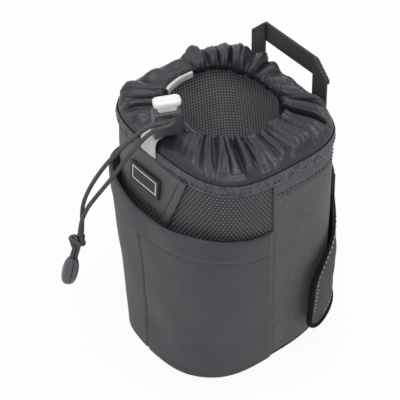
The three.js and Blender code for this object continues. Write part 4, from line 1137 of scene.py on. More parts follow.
class POUCH_OT_shell(bpy.types.Operator):
    """Make the base, the side panels with their top band, and the raised mesh front"""

    bl_idname = "pouch.shell"
    bl_label = "Outer panels"

    side_swell = 0.55
    foot_tuck = 0.9
    band_lap = 0.5
    band_dip = 0.55
    rim_dip = 0.3
    seam_dip = 0.5
    mesh_across = 2.8
    mesh_along = 5.0
    mesh_relief = 0.75
    mesh_sink = 0.6
    mesh_swell = 0.14
    mesh_fine_from = BODY_HEIGHT - 66
    hollow = 0.45
    hollow_from_seam = 17
    hollow_height = BODY_HEIGHT - 33
    hollow_half = (10, 7)

    def execute(self, context):
        sizes = in_millimetres(context.scene.pouch_sizes)
        wall = Wall(sizes)
        seam = sizes.side_seam
        band_foot = wall.height - sizes.top_band
        self.make_side(wall, "side_wall", seam, WALL_FOOT, band_foot, 78)
        self.make_side(wall, "side_top_band", seam, band_foot, wall.height, 16)
        self.make_front(wall, seam)
        self.make_base(wall)
        self.sew(wall, sizes, seam, band_foot)
        return {"FINISHED"}

    def make_side(self, wall, name, seam, foot, top, rows):
        run = wall.girth - 2 * seam
        band = name == "side_top_band"

        def place(u, v):
            s = seam + run * u
            z = foot + (top - foot) * v
            clear = smoothstep(FLAP_WING_HALF + 4, FLAP_WING_HALF + 20, np.abs(s - wall.back))
            swell = self.side_swell * clear * ripple(wall.at(s, z, 0), 48, 3)
            tuck = -self.foot_tuck * (1 - smoothstep(0, 7, z - WALL_FOOT))
            if band:
                top_dip = -self.rim_dip * smoothstep(0, 3, z - top + 3)
                lap = self.band_lap * (1 - smoothstep(0, 5, z - foot)) * clear
            else:
                top_dip = -self.band_dip * (1 - smoothstep(0, 2.6, top - z))
                lap = 0
            side_dip = -self.seam_dip * (1 - smoothstep(0, 2.4, np.minimum(s - seam, seam + run - s)))
            return wall.at(s, z, swell + tuck + top_dip + lap + side_dip)

        bm = cloth_grid(130, rows, place, (run, top - foot))
        panel = add_piece(name, bm, "twill", replaces=[name], thickness=SHELL, edge=0.35)

    def make_front(self, wall, seam):
        """Spacer mesh: rounded pads in staggered rows with pits between them."""
        reach = seam - GAP / 2
        fine_from, plain_rows, fine_rows = self.mesh_fine_from, 6, 132
        share = plain_rows / (plain_rows + fine_rows)

        def spot(u, v):
            s = reach * (2 * u - 1)
            low = WALL_FOOT + (fine_from - WALL_FOOT) * v / share
            high = fine_from + (wall.height - fine_from) * (v - share) / (1 - share)
            return s, np.where(v < share, low, high)

        def pads(s, z):
            a, b = TAU * s / self.mesh_across, TAU * z / self.mesh_along
            cells = 2 * np.cos(a) * np.cos(b) + np.cos(2 * b)
            return smoothstep(-0.5, 1.3, cells) * smoothstep(0, 2, reach - np.abs(s))

        def place(u, v):
            s, z = spot(u, v)
            swell = self.mesh_swell * ripple(wall.at(s, z, 0), 40, 8) - self.mesh_swell
            beside = (np.abs(s) - seam + self.hollow_from_seam) / self.hollow_half[0]
            above = (z - self.hollow_height) / self.hollow_half[1]
            dent = -self.hollow * np.exp(-(beside**2) - above**2)
            return wall.at(s, z, self.mesh_relief * pads(s, z) - self.mesh_sink + swell + dent)

        bm = cloth_grid(
            340, plain_rows + fine_rows, lambda u, v: np.stack([u, v, 0 * u], axis=1), (2 * reach, 180)
        )
        # Each point keeps its pad height; the mesh's colour turns it into painted shade in the pits and
        # painted light on the pads.
        layer = bm.verts.layers.float.new(RAISED)
        flat = np.array([vert.co[:2] for vert in bm.verts])
        points, raised = place(flat[:, 0], flat[:, 1]), pads(*spot(flat[:, 0], flat[:, 1]))
        for vert, point, pad in zip(bm.verts, points, raised):
            vert.co = point
            vert[layer] = pad
        panel = add_piece(
            "front_mesh", bm, "raised_mesh", replaces=["front_panel"], thickness=0.5
        )

    def make_base(self, wall):
        """Base cloth: a slab in the body's plan with softened rims."""
        bm = bmesh.new()
        weave = bm.loops.layers.uv.new(WEAVE_MAP)
        bmesh.ops.create_circle(bm, cap_ends=True, segments=220, radius=1)
        runs = np.linspace(0, wall.girth, 220, endpoint=False)
        for vert, point in zip(bm.verts, wall.at(runs, 0.0, -BASE_INSET)):
            vert.co = point
        drawn = bmesh.ops.extrude_face_region(bm, geom=list(bm.faces))["geom"]
        moved = [v for v in drawn if isinstance(v, bmesh.types.BMVert)]
        bmesh.ops.translate(bm, vec=(0, 0, BASE_PANEL), verts=moved)
        bmesh.ops.recalc_face_normals(bm, faces=bm.faces)
        soften(bm, flat_rims(bm, 2), 0.6, 3)
        paint_map(bm, weave, (0, 1))
        add_piece("base_cloth", bm, "webbing", replaces=["base_panel"], sharp=50)

    def sew(self, wall, sizes, seam, band_foot):
        bm = bmesh.new()
        size = sizes.stitch
        run = np.linspace(seam + 2, wall.girth - seam - 2, 260)
        add_stitches(bm, *wall.line(run, band_foot + 2.2, 0.42), size)
        for side in (-1, 1):
            z = np.linspace(WALL_FOOT + 4, wall.height - 3, 120)
            add_stitches(bm, *wall.line(side * (seam + 0.2), z, 0.05), size)
        add_piece("panel_stitching", bm, "dark_thread")


class POUCH_OT_shield(bpy.types.Operator):
    """Make the smooth patch under the label and the bare label on it"""

    bl_idname = "pouch.shield"
    bl_label = "Shield and label"

    foot = BODY_HEIGHT - 47
    top_half = 38.5
    foot_half = 22
    left = 8
    off = 1.3
    strip = 5.5
    fold = 0.75
    puff = 0.25
    rolled = 0.5
    label_size = (29, 16.5)
    label_top = BODY_HEIGHT - 13
    label_field = 1.7
    label_border = 2.4
    line_inset = 2.5
    line_width = 1.1
    line_lift = 0.16

    def execute(self, context):
        sizes = in_millimetres(context.scene.pouch_sizes)
        self.wall = Wall(sizes)
        self.make_shield(sizes)
        self.make_label()
        return {"FINISHED"}

    def half(self, z):
        share = (z - self.foot) / (self.wall.height - self.foot)
        return self.foot_half + (self.top_half - self.foot_half) * share

    def shield_point(self, x, z, extra):
        return self.wall.at(self.wall.run_for(x - self.left, z), z, self.off + extra)

    def make_shield(self, sizes):
        rise = self.wall.height - self.foot

        def place(u, v):
            z = self.foot + rise * v
            half = self.half(z)
            x = (2 * u - 1) * half
            fold = self.fold * smoothstep(-0.35, 0.35, x - (half - self.strip))
            puff = self.puff * ripple(self.wall.at(x, z, 0), 26, 5)
            roll = -self.rolled * (1 - smoothstep(0, 1.6, np.minimum(half - np.abs(x), z - self.foot)))
            return self.shield_point(x, z, fold + puff + roll)

        bm = cloth_grid(150, 50, place, (2 * self.top_half, rise))
        shield = add_piece(
            "front_shield", bm, "coated_cloth",
            replaces=["front_shield"], thickness=1, edge=0.3,
        )
        self.sew(sizes.stitch)

    def sew(self, size):
        """Two rows along the shield's foot and one beside its folded strip."""
        seams = bmesh.new()

        def row(x, z, gap):
            points = self.shield_point(x, z, 0.1)
            add_stitches(seams, points, self.shield_point(x, z, 1.1) - points, size, gap=gap)

        for low in (3.4, 5.0):
            z = np.full(60, self.foot + low)
            row(np.linspace(-0.94, 0.72, 60) * self.half(z), z, 0.9)
        z = np.linspace(self.foot + 3, self.wall.height - 4, 60)
        row(self.half(z) - self.strip - 1.2, z, STITCH_GAP)
        add_piece("shield_stitching", seams, "dark_thread")

    def label_point(self, x, z, level):
        """Point over the shield, from the label's middle."""
        run = self.wall.run_for(x - self.left, self.label_top)
        return self.wall.at(run, z + self.label_top - self.label_size[1] / 2, self.off + GAP + level)

    def make_label(self):
        """Rubber label with a raised border, its field left bare inside a plain printed line."""
        width, height = self.label_size
        field, border = self.label_field, self.label_border

        def place(u, v):
            x, z = (u - 0.5) * width, (v - 0.5) * height
            inset = np.minimum(width / 2 - np.abs(x), height / 2 - np.abs(z))
            level = border * smoothstep(-0.35, 0.7, inset) - (border - field) * smoothstep(1.5, 2.1, inset)
            return self.label_point(x, z, level)

        bm = cloth_grid(100, 50, place, (width, height))
        add_piece("label_patch", bm, "rubber", replaces=["label_patch"], thickness=1.2)

        def frame_point(u, v):
            inset = self.line_inset + self.line_width * v
            w, h = width / 2 - inset, height / 2 - inset
            turn = TAU * u
            reach = np.maximum(np.abs(np.cos(turn)), np.abs(np.sin(turn)))
            x = np.clip(w * np.cos(turn) / reach, -w, w)
            z = np.clip(h * np.sin(turn) / reach, -h, h)
            return self.label_point(x, z, field + self.line_lift)

        ring = cloth_grid(160, 2, frame_point, (80, 1), loop=True)
        turn_faces(ring, 1, -1)
        add_piece("label_frame", ring, "frame_print", thickness=0.12)


# Inside


class POUCH_OT_inside(bpy.types.Operator):
    """Make the padding, the grid lining and the tape over its seam"""

    bl_idname = "pouch.inside"
    bl_label = "Padding and lining"

    lining_slack = 0.55
    lining_less = 38
    floor_less = 14
    floor_sag = 0.25
    floor_clear = 0.6
    base_crown = 0.3
    tape_half = 5.5
    tape_dome = 0.35
    tape_off = 0.25
    tape_from = 0.6
    tape_stitch = 4.2

    def execute(self, context):
        wall = Wall(in_millimetres(context.scene.pouch_sizes))
        self.make_padding(wall)
        self.make_lining(wall)
        return {"FINISHED"}

    def make_padding(self, wall):
        """Foam ring with rounded edges, and a crowned foam base."""
        inner, outer, foot, top = PADDING_IN, PADDING_OUT, WALL_FOOT, wall.height - 0.4
        middle, thick = (inner + outer) / 2, (outer - inner) / 2

        def place(u, v):
            turn = TAU * v
            z = (foot + top) / 2 + (top - foot) / 2 * signed_power(np.sin(turn), 0.12)
            off = middle + thick * signed_power(np.cos(turn), 0.35)
            return wall.at(wall.girth * u, np.clip(z, foot, top), off)

        bm = cloth_grid(140, 48, place, (wall.girth, 400), loop=True)
        bmesh.ops.recalc_face_normals(bm, faces=bm.faces)
        ring = add_piece("wall_padding", bm, "foam", replaces=["foam_wall"])
        base = self.plan_pad(wall, WALL_FOOT, FOAM_BASE, PADDING_IN - GAP, self.base_crown)
        pad = add_piece("base_padding", base, "foam", replaces=["foam_base"])

    def plan_pad(self, wall, foot, thick, off, crown):
        """Pad with the body's plan, rounded at its edge and slightly crowned."""

        def place(u, v):
            turn = math.pi * (v - 0.5)
            reach = np.abs(np.cos(turn)) ** 0.18
            edge = wall.at(wall.girth * u, foot, off)
            z = foot + thick / 2 + (thick / 2 - crown) * signed_power(np.sin(turn), 0.5)
            z = z + crown * np.sin(turn) * (1 - reach**2)
            return np.stack([edge[:, 0] * reach, edge[:, 1] * reach, z], axis=1)

        bm = cloth_grid(140, 40, place, (wall.girth, 120), loop=True)
        bmesh.ops.recalc_face_normals(bm, faces=bm.faces)
        return bm

    def lining_off(self, wall, s, z):
        """How far the lining lies off the wall's outer face, with its slack."""
        slack = self.lining_slack * ripple(wall.at(s, z, LINING_IN), 42, 21)
        return LINING_IN - np.abs(slack * smoothstep(0, 12, wall.height - z))

    def make_lining(self, wall):
        rise = wall.height - LINING_FLOOR

        def place(u, v):
            s = wall.girth * (1 - u)
            z = LINING_FLOOR - LINING + (rise + LINING) * v
            return wall.at(s, z, self.lining_off(wall, s, z))

        width = wall.girth - self.lining_less
        bm = cloth_grid(200, 80, place, (width, rise), loop=True)
        lining = add_piece("lining_wall", bm, "lining", replaces=["lining_wall"], thickness=0.7)

        def floor(u, v):
            edge = wall.at(wall.girth * u, LINING_FLOOR, LINING_IN - self.floor_clear)
            sag = self.floor_sag * ripple(np.stack([edge[:, 0] * v, edge[:, 1] * v, 0 * v], axis=1), 40, 22)
            z = LINING_FLOOR - self.floor_sag + sag * (1 - v)
            return np.stack([edge[:, 0] * v, edge[:, 1] * v, z], axis=1)

        base = cloth_grid(140, 30, floor, (1, 1), loop=True)
        paint_map(base, base.loops.layers.uv[WEAVE_MAP], (0, 1))
        bmesh.ops.recalc_face_normals(base, faces=base.faces)
        turn_faces(base, 2, 1)
        floor_piece = add_piece(
            "lining_base", base, "lining", replaces=["lining_base"], thickness=0.5
        )

        def tape(u, v):
            s = wall.back + self.tape_half * (1 - 2 * u)
            z = LINING_FLOOR + self.tape_from + (rise - self.tape_from) * v
            dome = self.tape_dome * (1 - (2 * u - 1) ** 4)
            return wall.at(s, z, self.lining_off(wall, s, z) - self.tape_off - dome)

        strip = cloth_grid(14, 90, tape, (2 * self.tape_half, rise))
        add_piece(
            "lining_seam_tape", strip, "webbing", replaces=["lining_seam_tape"], thickness=0.3
        )
        seams = bmesh.new()
        for side in (-self.tape_stitch, self.tape_stitch):
            z = np.linspace(LINING_FLOOR + 3, wall.height - 2, 120)
            points, facing = wall.line(wall.back + side, z, TAPE_IN - 0.05)
            add_stitches(seams, points, -facing, wall.sizes.stitch)
        add_piece("lining_stitching", seams, "dark_thread")


# Pocket


class POUCH_OT_pocket(bpy.types.Operator):
    """Make the stretch pocket with its folded hem and seams"""

    bl_idname = "pouch.pocket"
    bl_label = "Stretch pocket"

    stand_from = 36
    panel = 1.2
    hem = 2.4
    seam_run = -6
    hem_step = 0.45
    hem_groove = 0.75
    seam_groove = 0.85
    swell = 0.5
    sewn_off = 0.7
    least_off = 0.35
    fold_take_up = 8

    def execute(self, context):
        sizes = in_millimetres(context.scene.pouch_sizes)
        self.wall = Wall(sizes)
        self.sizes = sizes
        self.reach = sizes.side_seam - GAP / 2
        self.make_pocket()
        self.sew()
        return {"FINISHED"}

    def across(self, s):
        return np.cos(math.pi / 2 * np.clip(s / self.sizes.side_seam, -1, 1))

    def top(self, s):
        swing = np.sin(math.pi * np.asarray(s) / self.sizes.side_seam) ** 2
        return self.sizes.pocket_top + self.sizes.pocket_rise * swing

    def stand(self, s, z):
        up = np.maximum(z - self.stand_from, 0) / (self.sizes.pocket_top - self.stand_from)
        return GAP + self.sizes.pocket_stand * self.across(s) * up

    def face(self, s, z):
        """How far the pocket's outer face lies off the wall."""
        hem_height = self.sizes.pocket_hem
        hem_foot = self.top(s) - hem_height
        share = np.clip((z - WALL_FOOT) / (hem_foot - WALL_FOOT), 0, 1)
        off = self.panel + (self.hem - self.panel) * share**2
        below = hem_foot - z
        under_fold = smoothstep(0.5 - hem_height, 8 - hem_height, below)
        off = off + self.hem_step * smoothstep(1.2, -1.2, below) * under_fold
        off = off - self.hem_groove * np.exp(-((below / 0.9) ** 2))
        off = off - self.seam_groove * np.exp(-((s - self.seam_run) ** 2)) * smoothstep(-1, 1, below)
        off = off + self.swell * ripple(self.wall.at(s, z, 0), 44, 31) * self.across(s)
        at_seam = smoothstep(0, 5, self.reach - np.abs(s))
        return self.sewn_off + (self.stand(s, z) + off - self.sewn_off) * at_seam

    def make_pocket(self):
        turn_from, turn_to = 0.82, 0.88
        radius = self.hem / 2 + 0.2

        def place(u, v):
            s = self.reach * (2 * u - 1)
            top = self.top(s) - radius
            outer_z = WALL_FOOT + (top - WALL_FOOT) * v / turn_from
            turn = math.pi * (v - turn_from) / (turn_to - turn_from)
            inner_z = top - (self.sizes.pocket_hem - radius) * (v - turn_to) / (1 - turn_to)
            rim = self.face(s, top)
            fold_z = top + radius * np.sin(turn)
            fold_off = rim - radius + radius * np.cos(turn)
            inner_off = rim - 2 * radius + 0 * u
            z = np.where(v < turn_from, outer_z, np.where(v < turn_to, fold_z, inner_z))
            off = np.where(v < turn_from, self.face(s, outer_z), np.where(v < turn_to, fold_off, inner_off))
            return self.wall.at(s, z, np.maximum(off, self.least_off))

        rise = self.sizes.pocket_top + self.sizes.pocket_hem
        bm = cloth_grid(230, 120, place, (2 * self.reach, rise))
        pocket = add_piece(
            "stretch_pocket", bm, "stretch_knit",
            replaces=["pocket_panel", "pocket_hem", "pocket_elastic"], thickness=0.6,
        )

    def sew(self):
        bm = bmesh.new()
        size = self.sizes.stitch
        z = np.linspace(WALL_FOOT + 3, self.sizes.pocket_top - self.sizes.pocket_hem - 2, 120)
        s = np.full_like(z, self.seam_run)
        points = self.wall.at(s, z, self.face(s, z) + 0.1)
        add_stitches(bm, points, self.wall.at(s, z, self.face(s, z) + 1.1) - points, size)
        add_piece("pocket_stitching", bm, "dark_thread")


# Collar


class Gathers:
    """Uneven lobes round the mouth with a crease on each side."""

    def __init__(self, count, seed):
        rng = np.random.default_rng(seed)
        widths = rng.uniform(0.5, 1.6, count)
        self.edges = np.concatenate([[0], np.cumsum(widths) / widths.sum()])
        self.heights = rng.uniform(0.55, 1.15, count)
        self.starts = rng.uniform(0.02, 0.36, count)
        self.leans = rng.uniform(-0.4, 0.4, count)

    def lobe(self, share):
        """Which lobe a share of the way round lies in, and its rounded height there."""
        share = np.mod(share, 1)
        k = np.clip(np.searchsorted(self.edges, share, side="right") - 1, 0, len(self.heights) - 1)
        inside = (share - self.edges[k]) / (self.edges[k + 1] - self.edges[k])
        return k, self.heights[k] * np.sin(math.pi * inside) ** 0.6


def curve_through(share, stops, values):
    """Smooth curve through given values at given stops."""
    stops = np.asarray(stops, float)
    table = np.stack([np.broadcast_to(value, share.shape) for value in values])
    slopes = np.gradient(table, stops, axis=0)
    k = np.clip(np.searchsorted(stops, share, side="right") - 1, 0, len(stops) - 2)
    pick = np.arange(len(share))
    span = stops[k + 1] - stops[k]
    t = (share - stops[k]) / span
    a, b = table[k, pick], table[k + 1, pick]
    ma, mb = slopes[k, pick] * span, slopes[k + 1, pick] * span
    return (
        (2 * t**3 - 3 * t**2 + 1) * a + (t**3 - 2 * t**2 + t) * ma
        + (3 * t**2 - 2 * t**3) * b + (t**3 - t**2) * mb
    )


class POUCH_OT_collar(bpy.types.Operator):
    """Make the rim binding, the gathered collar and the tag inside"""

    bl_idname = "pouch.collar"
    bl_label = "Gathered collar"

    large_gathers = 27
    small_gathers = 58
    sheet_length = 52
    lip_short = 3.2
    pucker = 0.25
    pucker_pitch = 4.3
    lap_out = 0.55
    lap_half = 0.25
    lap_crinkle = 0.32
    stitch_share = 0.045  # place of the collar's seam, as a share of the sheet
    tag_size = (29, 10.5)

    def execute(self, context):
        sizes = in_millimetres(context.scene.pouch_sizes)
        self.sizes = sizes
        self.wall = Wall(sizes)
        self.mouth = mouth_plan(sizes)
        self.large = Gathers(self.large_gathers, 12)
        self.small = Gathers(self.small_gathers, 5)
        self.make_binding()
        self.make_collar()
        self.make_tag()
        return {"FINISHED"}

    def make_binding(self):
        middle, thick = LINING_IN / 2, -LINING_IN / 2

        def place(u, v):
            turn = TAU * v
            run = self.wall.girth * u
            pucker = self.pucker * np.sin(run * TAU / self.pucker_pitch + 2 * np.sin(run / 17))
            off = middle + thick * signed_power(np.cos(turn), 0.5) + pucker * np.maximum(np.cos(turn), 0)
            half = (BINDING_TOP - BINDING_FOOT) / 2
            z = BINDING_FOOT + half + half * signed_power(np.sin(turn), 0.6)
            edge = self.wall.at(run, self.wall.height, off)
            return np.stack([edge[:, 0], edge[:, 1], z], axis=1)

        def lap(u, v):
            share = 0.5 - 0.5 * np.cos(TAU * v)
            foot, lip, run, inwards, z = self.lie(u, COLLAR_BAND * share)
            crinkle = ripple(np.stack([1.6 * self.wall.girth * u, 16 * share, 0 * u], axis=1), 8, 17)
            crinkle = self.lap_crinkle * crinkle * np.sin(math.pi * share)
            out = self.lap_out + self.lap_half * np.sin(TAU * v) + crinkle
            flat = foot + (lip - foot) * ((inwards - out) / run)[:, None]
            return np.stack([flat[:, 0], flat[:, 1], z], axis=1)

        ring = cloth_grid(420, 24, place, (self.wall.girth, 18), loop=True)
        band = cloth_grid(640, 28, lap, (self.wall.girth, 24), loop=True)
        for bm in (ring, band):
            bmesh.ops.recalc_face_normals(bm, faces=bm.faces)
        add_piece("rim_tape", joined_shapes(ring, band), "crinkled_tape", replaces=["rim_binding"])

    def lie(self, u, v):
        """Foot and lip of the collar's columns, and the sheet's way in and up before it is gathered."""
        foot = self.wall.at(self.wall.girth * u, self.wall.height, -SHELL)[:, :2]
        lip = np.stack(self.mouth.point(self.mouth.girth * u), axis=1)
        run = np.linalg.norm(lip - foot, axis=1)
        rolled = smoothstep(0.7 * TUNNEL_FROM, 1.3 * TUNNEL_FROM, np.abs(self.from_front(u)))
        puff = self.free(u)
        crown = CREST + 1.6 * puff + 3.2 * puff * smoothstep(0.17, 0, np.abs(u - 0.6))
        held = self.held(foot)
        stops = (0, 0.1, 0.2, 0.27, 0.36, 0.48, 0.62, 0.76, 0.85, 0.93, 1)
        inner = run - self.lip_short
        reach = (
            0.7 * held - 1.6, 0.8 * held - 2.1, -0.9, 0.1, 2.4, 0.27 * run, 0.55 * run,
            inner, inner + 3.4 * rolled, inner + 5.6 * rolled, inner + 4.6 * rolled,
        )
        rise = (
            self.wall.height - 0.6, BINDING_TOP + 2.3, BINDING_TOP + 8.1, BINDING_TOP + 10.3,
            crown - 1.4, crown, crown - 0.4, crown - 0.9, MOUTH_HEIGHT + 1.4 + 2.3 * rolled,
            MOUTH_HEIGHT + 1 - 0.6 * rolled, MOUTH_HEIGHT + 0.6 - 3.8 * rolled,
        )
        return foot, lip, run, curve_through(v, stops, reach), curve_through(v, stops, rise)

    def held(self, foot):
        """One where a leg of the handle lies against the rim, else nought."""
        from_leg = np.abs(np.abs(foot[:, 0]) - HANDLE_HALF + HANDLE_LEG / 2)
        return (foot[:, 1] > 0) * smoothstep(11, 8, from_leg)

    def from_front(self, u):
        """Distance round the mouth from the middle of the front."""
        return ((u + 0.5) % 1 - 0.5) * self.mouth.girth

    def free(self, u):
        """Share of its height that the cloth is free to rise, least under the cord lock."""
        return 1 - np.exp(-(((self.from_front(u) - LOCK_PLACE[0]) / 17) ** 2))

    def make_collar(self):
        """Sheet from the rim over the crest, rolled round the drawcord and gathered in uneven lobes."""
        depth = self.sizes.gather_depth
        band = COLLAR_BAND

        def place(u, v):
            foot, lip, run, inwards, z = self.lie(u, v)
            step = 0.004
            _, _, _, ahead, above = self.lie(u, np.minimum(v + step, 1))
            _, _, _, behind, below = self.lie(u, np.maximum(v - step, 0))
            slope = unit(np.stack([ahead - behind, above - below], axis=1))
            drift = 0.010 * np.sin(TAU * 5 * u + 1.2) + 0.006 * np.sin(TAU * 13 * u)
            k, big = self.large.lobe(u + drift * (1 - v))
            _, fine = self.small.lobe(u - 1.4 * drift * (1 - v))
            free = 0.25 + 0.75 * self.free(u)
            grown = smoothstep(0, 0.34, v - self.large.starts[k])
            calm = smoothstep(20, 11, np.abs(self.mouth.girth * (u - 0.75) - TAG_FROM_LEFT))
            full = smoothstep(band, 0.44, v) * (1 - 0.65 * smoothstep(0.78, 0.95, v))
            full = full * (1 - 0.9 * calm * smoothstep(0.5, 0.72, v))
            swell = depth * free * (big * grown - 0.55) * full
            swell = swell + 0.2 * depth * free * (fine - 0.6) * smoothstep(band, 0.34, v) * (1 - calm)
            swell = swell - 0.25 * np.exp(-(((v - band) / 0.02) ** 2))
            swell = np.where(slope[:, 1] > 0.5, np.minimum(swell, 2.2 - 2.0 * self.held(foot)), swell)
            inwards = inwards - slope[:, 1] * swell
            z = z + slope[:, 0] * swell
            aside = self.large.leans[k] * depth * big * grown * full * free
            across = np.stack([foot[:, 1] - lip[:, 1], lip[:, 0] - foot[:, 0]], axis=1) / run[:, None]
            flat = foot + (lip - foot) * (inwards / run)[:, None] + across * aside[:, None]
            return np.stack([flat[:, 0], flat[:, 1], z], axis=1)

        bm = cloth_grid(720, 64, place, (self.wall.girth * 1.5, 62), loop=True)
        collar = add_piece(
            "gathered_collar", bm, "ripstop", replaces=["collar", "collar_hem"], thickness=0.5
        )
        seams = bmesh.new()
        share = np.linspace(0, 1, 700)
        points = place(share, np.full_like(share, self.stitch_share))
        outer = self.wall.at(self.wall.girth * share, self.wall.height, 1)
        inner = self.wall.at(self.wall.girth * share, self.wall.height, 0)
        add_stitches(seams, points + 0.75 * (outer - inner), outer - inner, self.sizes.stitch)
        add_piece("collar_stitching", seams, "dark_thread")

    def make_tag(self):
        """Blank ribbon tag that hangs from the tunnel inside the mouth."""
        width, drop = self.tag_size
        middle = 0.75 * self.mouth.girth + TAG_FROM_LEFT

        def place(u, v):
            run = middle + width * (0.5 - u)
            x, y = self.mouth.point(run)
            ax, ay = self.mouth.point(run + 1)
            bx, by = self.mouth.point(run - 1)
            reach = np.hypot(ax - bx, ay - by)
            tucked = smoothstep(0.35, 1, v)
            inwards = 4.0 - 2.6 * tucked + 0.3 * np.sin(TAU * u) * (1 - v)
            z = MOUTH_HEIGHT - 3.4 + drop * (v - 0.45 * tucked)
            return np.stack([x - inwards * (ay - by) / reach, y + inwards * (ax - bx) / reach, z], axis=1)

        bm = cloth_grid(30, 20, place, (width, drop))
        tag = add_piece("care_tag", bm, "ribbon", replaces=["care_label"], thickness=0.4)


# Cord lock


class POUCH_OT_lock(bpy.types.Operator):
    """Make the cord lock's housing, button, spring and tab"""

    bl_idname = "pouch.lock"
    bl_label = "Cord lock"

    cavity = (13.6, 8.4, 7.6)  # width, depth and the height of its floor
    slot_width = 7.6
    slot_corner = 2.4
    housing_slot = (11.6, 18.0)  # foot and top
    button_slot = (14.4, 20.8)
    stem = (13, 7.8)  # width and depth
    stem_foot = 12.4
    cap = (19, 9.4, 4.6)  # width, depth and height
    cap_foot = 24.1
    spring_turn = 3  # radius of its curls
    spring_wire = 0.5
    spring_curls = 3
    spring_foot = 8.15
    spring_top = 11.85
    tab_width = 15
    tab = 1.2
    tab_route = (
        (-59.8, 187.6), (-60, 192.8), (-59.4, 199.4), (-56.6, 202.4),
        (-52.8, 202.6), (-51, 202.6), (-43, 202.6),
    )

    def execute(self, context):
        self.make_housing()
        self.make_button()
        self.make_spring()
        self.make_tab()
        return {"FINISHED"}

    def slot(self, foot, top, depth):
        """Rounded cutter for the cords' way through."""
        half, corner = self.slot_width / 2, self.slot_corner
        corners = ((1, top - corner), (-1, top - corner), (-1, foot + corner), (1, foot + corner))
        outline = []
        for k, (side, z) in enumerate(corners):
            for turn in np.linspace(k * math.pi / 2, (k + 1) * math.pi / 2, 7):
                x = side * (half - corner) + corner * math.cos(turn)
                outline.append((x, z + corner * math.sin(turn)))
        return plate(outline, depth)

    def make_housing(self):
        half, high, corner, arch = LOCK_WIDTH / 2, LOCK_HEIGHT, 4.5, 3.2
        outline = []
        for side, start in ((1, 0), (-1, math.pi / 2)):
            for turn in np.linspace(start, start + math.pi / 2, 8):
                x = side * (half - corner) + corner * math.cos(turn)
                outline.append((x, high - corner + corner * math.sin(turn)))
        for x in np.linspace(-half, half, 15):
            outline.append((x, arch / 2 * (1 - (x / half) ** 2)))
        bm = plate(outline, LOCK_DEPTH)
        soften(bm, flat_rims(bm, 1), 1.5, 4)
        width, depth, foot = self.cavity
        well = rounded_box(width, depth, high, 2, 0)
        bmesh.ops.translate(well, vec=(0, 0, foot), verts=well.verts)
        bm = combine(bm, well, "DIFFERENCE")
        bm = combine(bm, self.slot(*self.housing_slot, LOCK_DEPTH + 4), "DIFFERENCE")
        bmesh.ops.transform(bm, matrix=lock_frame(), verts=bm.verts)
        add_piece(
            "cord_lock_housing", bm, "black_plastic",
            replaces=["cord_lock_housing"], sharp=38,
        )

    def make_button(self):
        width, depth, high = self.cap
        stem = rounded_box(*self.stem, self.cap_foot + 1 - self.stem_foot, 1.8, 0)
        bmesh.ops.translate(stem, vec=(0, 0, self.stem_foot), verts=stem.verts)
        cap = rounded_box(width, depth, high, 3.2, 1.5)
        bmesh.ops.translate(cap, vec=(0, 0, self.cap_foot), verts=cap.verts)
        bm = combine(stem, cap, "UNION")
        bm = combine(bm, self.slot(*self.button_slot, depth + 4), "DIFFERENCE")
        bmesh.ops.transform(bm, matrix=lock_frame(), verts=bm.verts)
        add_piece(
            "cord_lock_button", bm, "white_plastic",
            body="lock_button", replaces=["cord_lock_button"], sharp=38,
        )

    def make_spring(self):
        turn = np.linspace(0, TAU * self.spring_curls, 100)
        z = np.linspace(self.spring_foot, self.spring_top, 100)
        path = np.stack([self.spring_turn * np.cos(turn), self.spring_turn * np.sin(turn), z], axis=1)
        radius = self.spring_wire / 2
        bm = sweep(path, lambda t, share: (radius * np.cos(t), radius * np.sin(t)), 10, 2)
        bmesh.ops.transform(bm, matrix=lock_frame(), verts=bm.verts)
        spring = add_piece("cord_lock_spring", bm, "steel", replaces=["cord_lock_spring"])
        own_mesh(spring)

    def make_tab(self):
        """Woven tab from the rim to under the lock."""
        path = smooth_path([(0, y, z) for y, z in self.tab_route], 0.5)
        along = unit(np.gradient(path, axis=0))

        def place(u, v):
            k = row_at(v, path)
            x = self.tab_width * (u - 0.5)
            lift = self.tab / 2
            return np.stack([x, path[k, 1] - lift * along[k, 2], path[k, 2] + lift * along[k, 1]], axis=1)

        bm = cloth_grid(16, len(path) - 1, place, (self.tab_width, path_length(path)))
        add_piece(
            "lock_tab", bm, "pale_webbing",
            replaces=["lock_tab"], thickness=self.tab, edge=0.3,
        )


# Carry handle


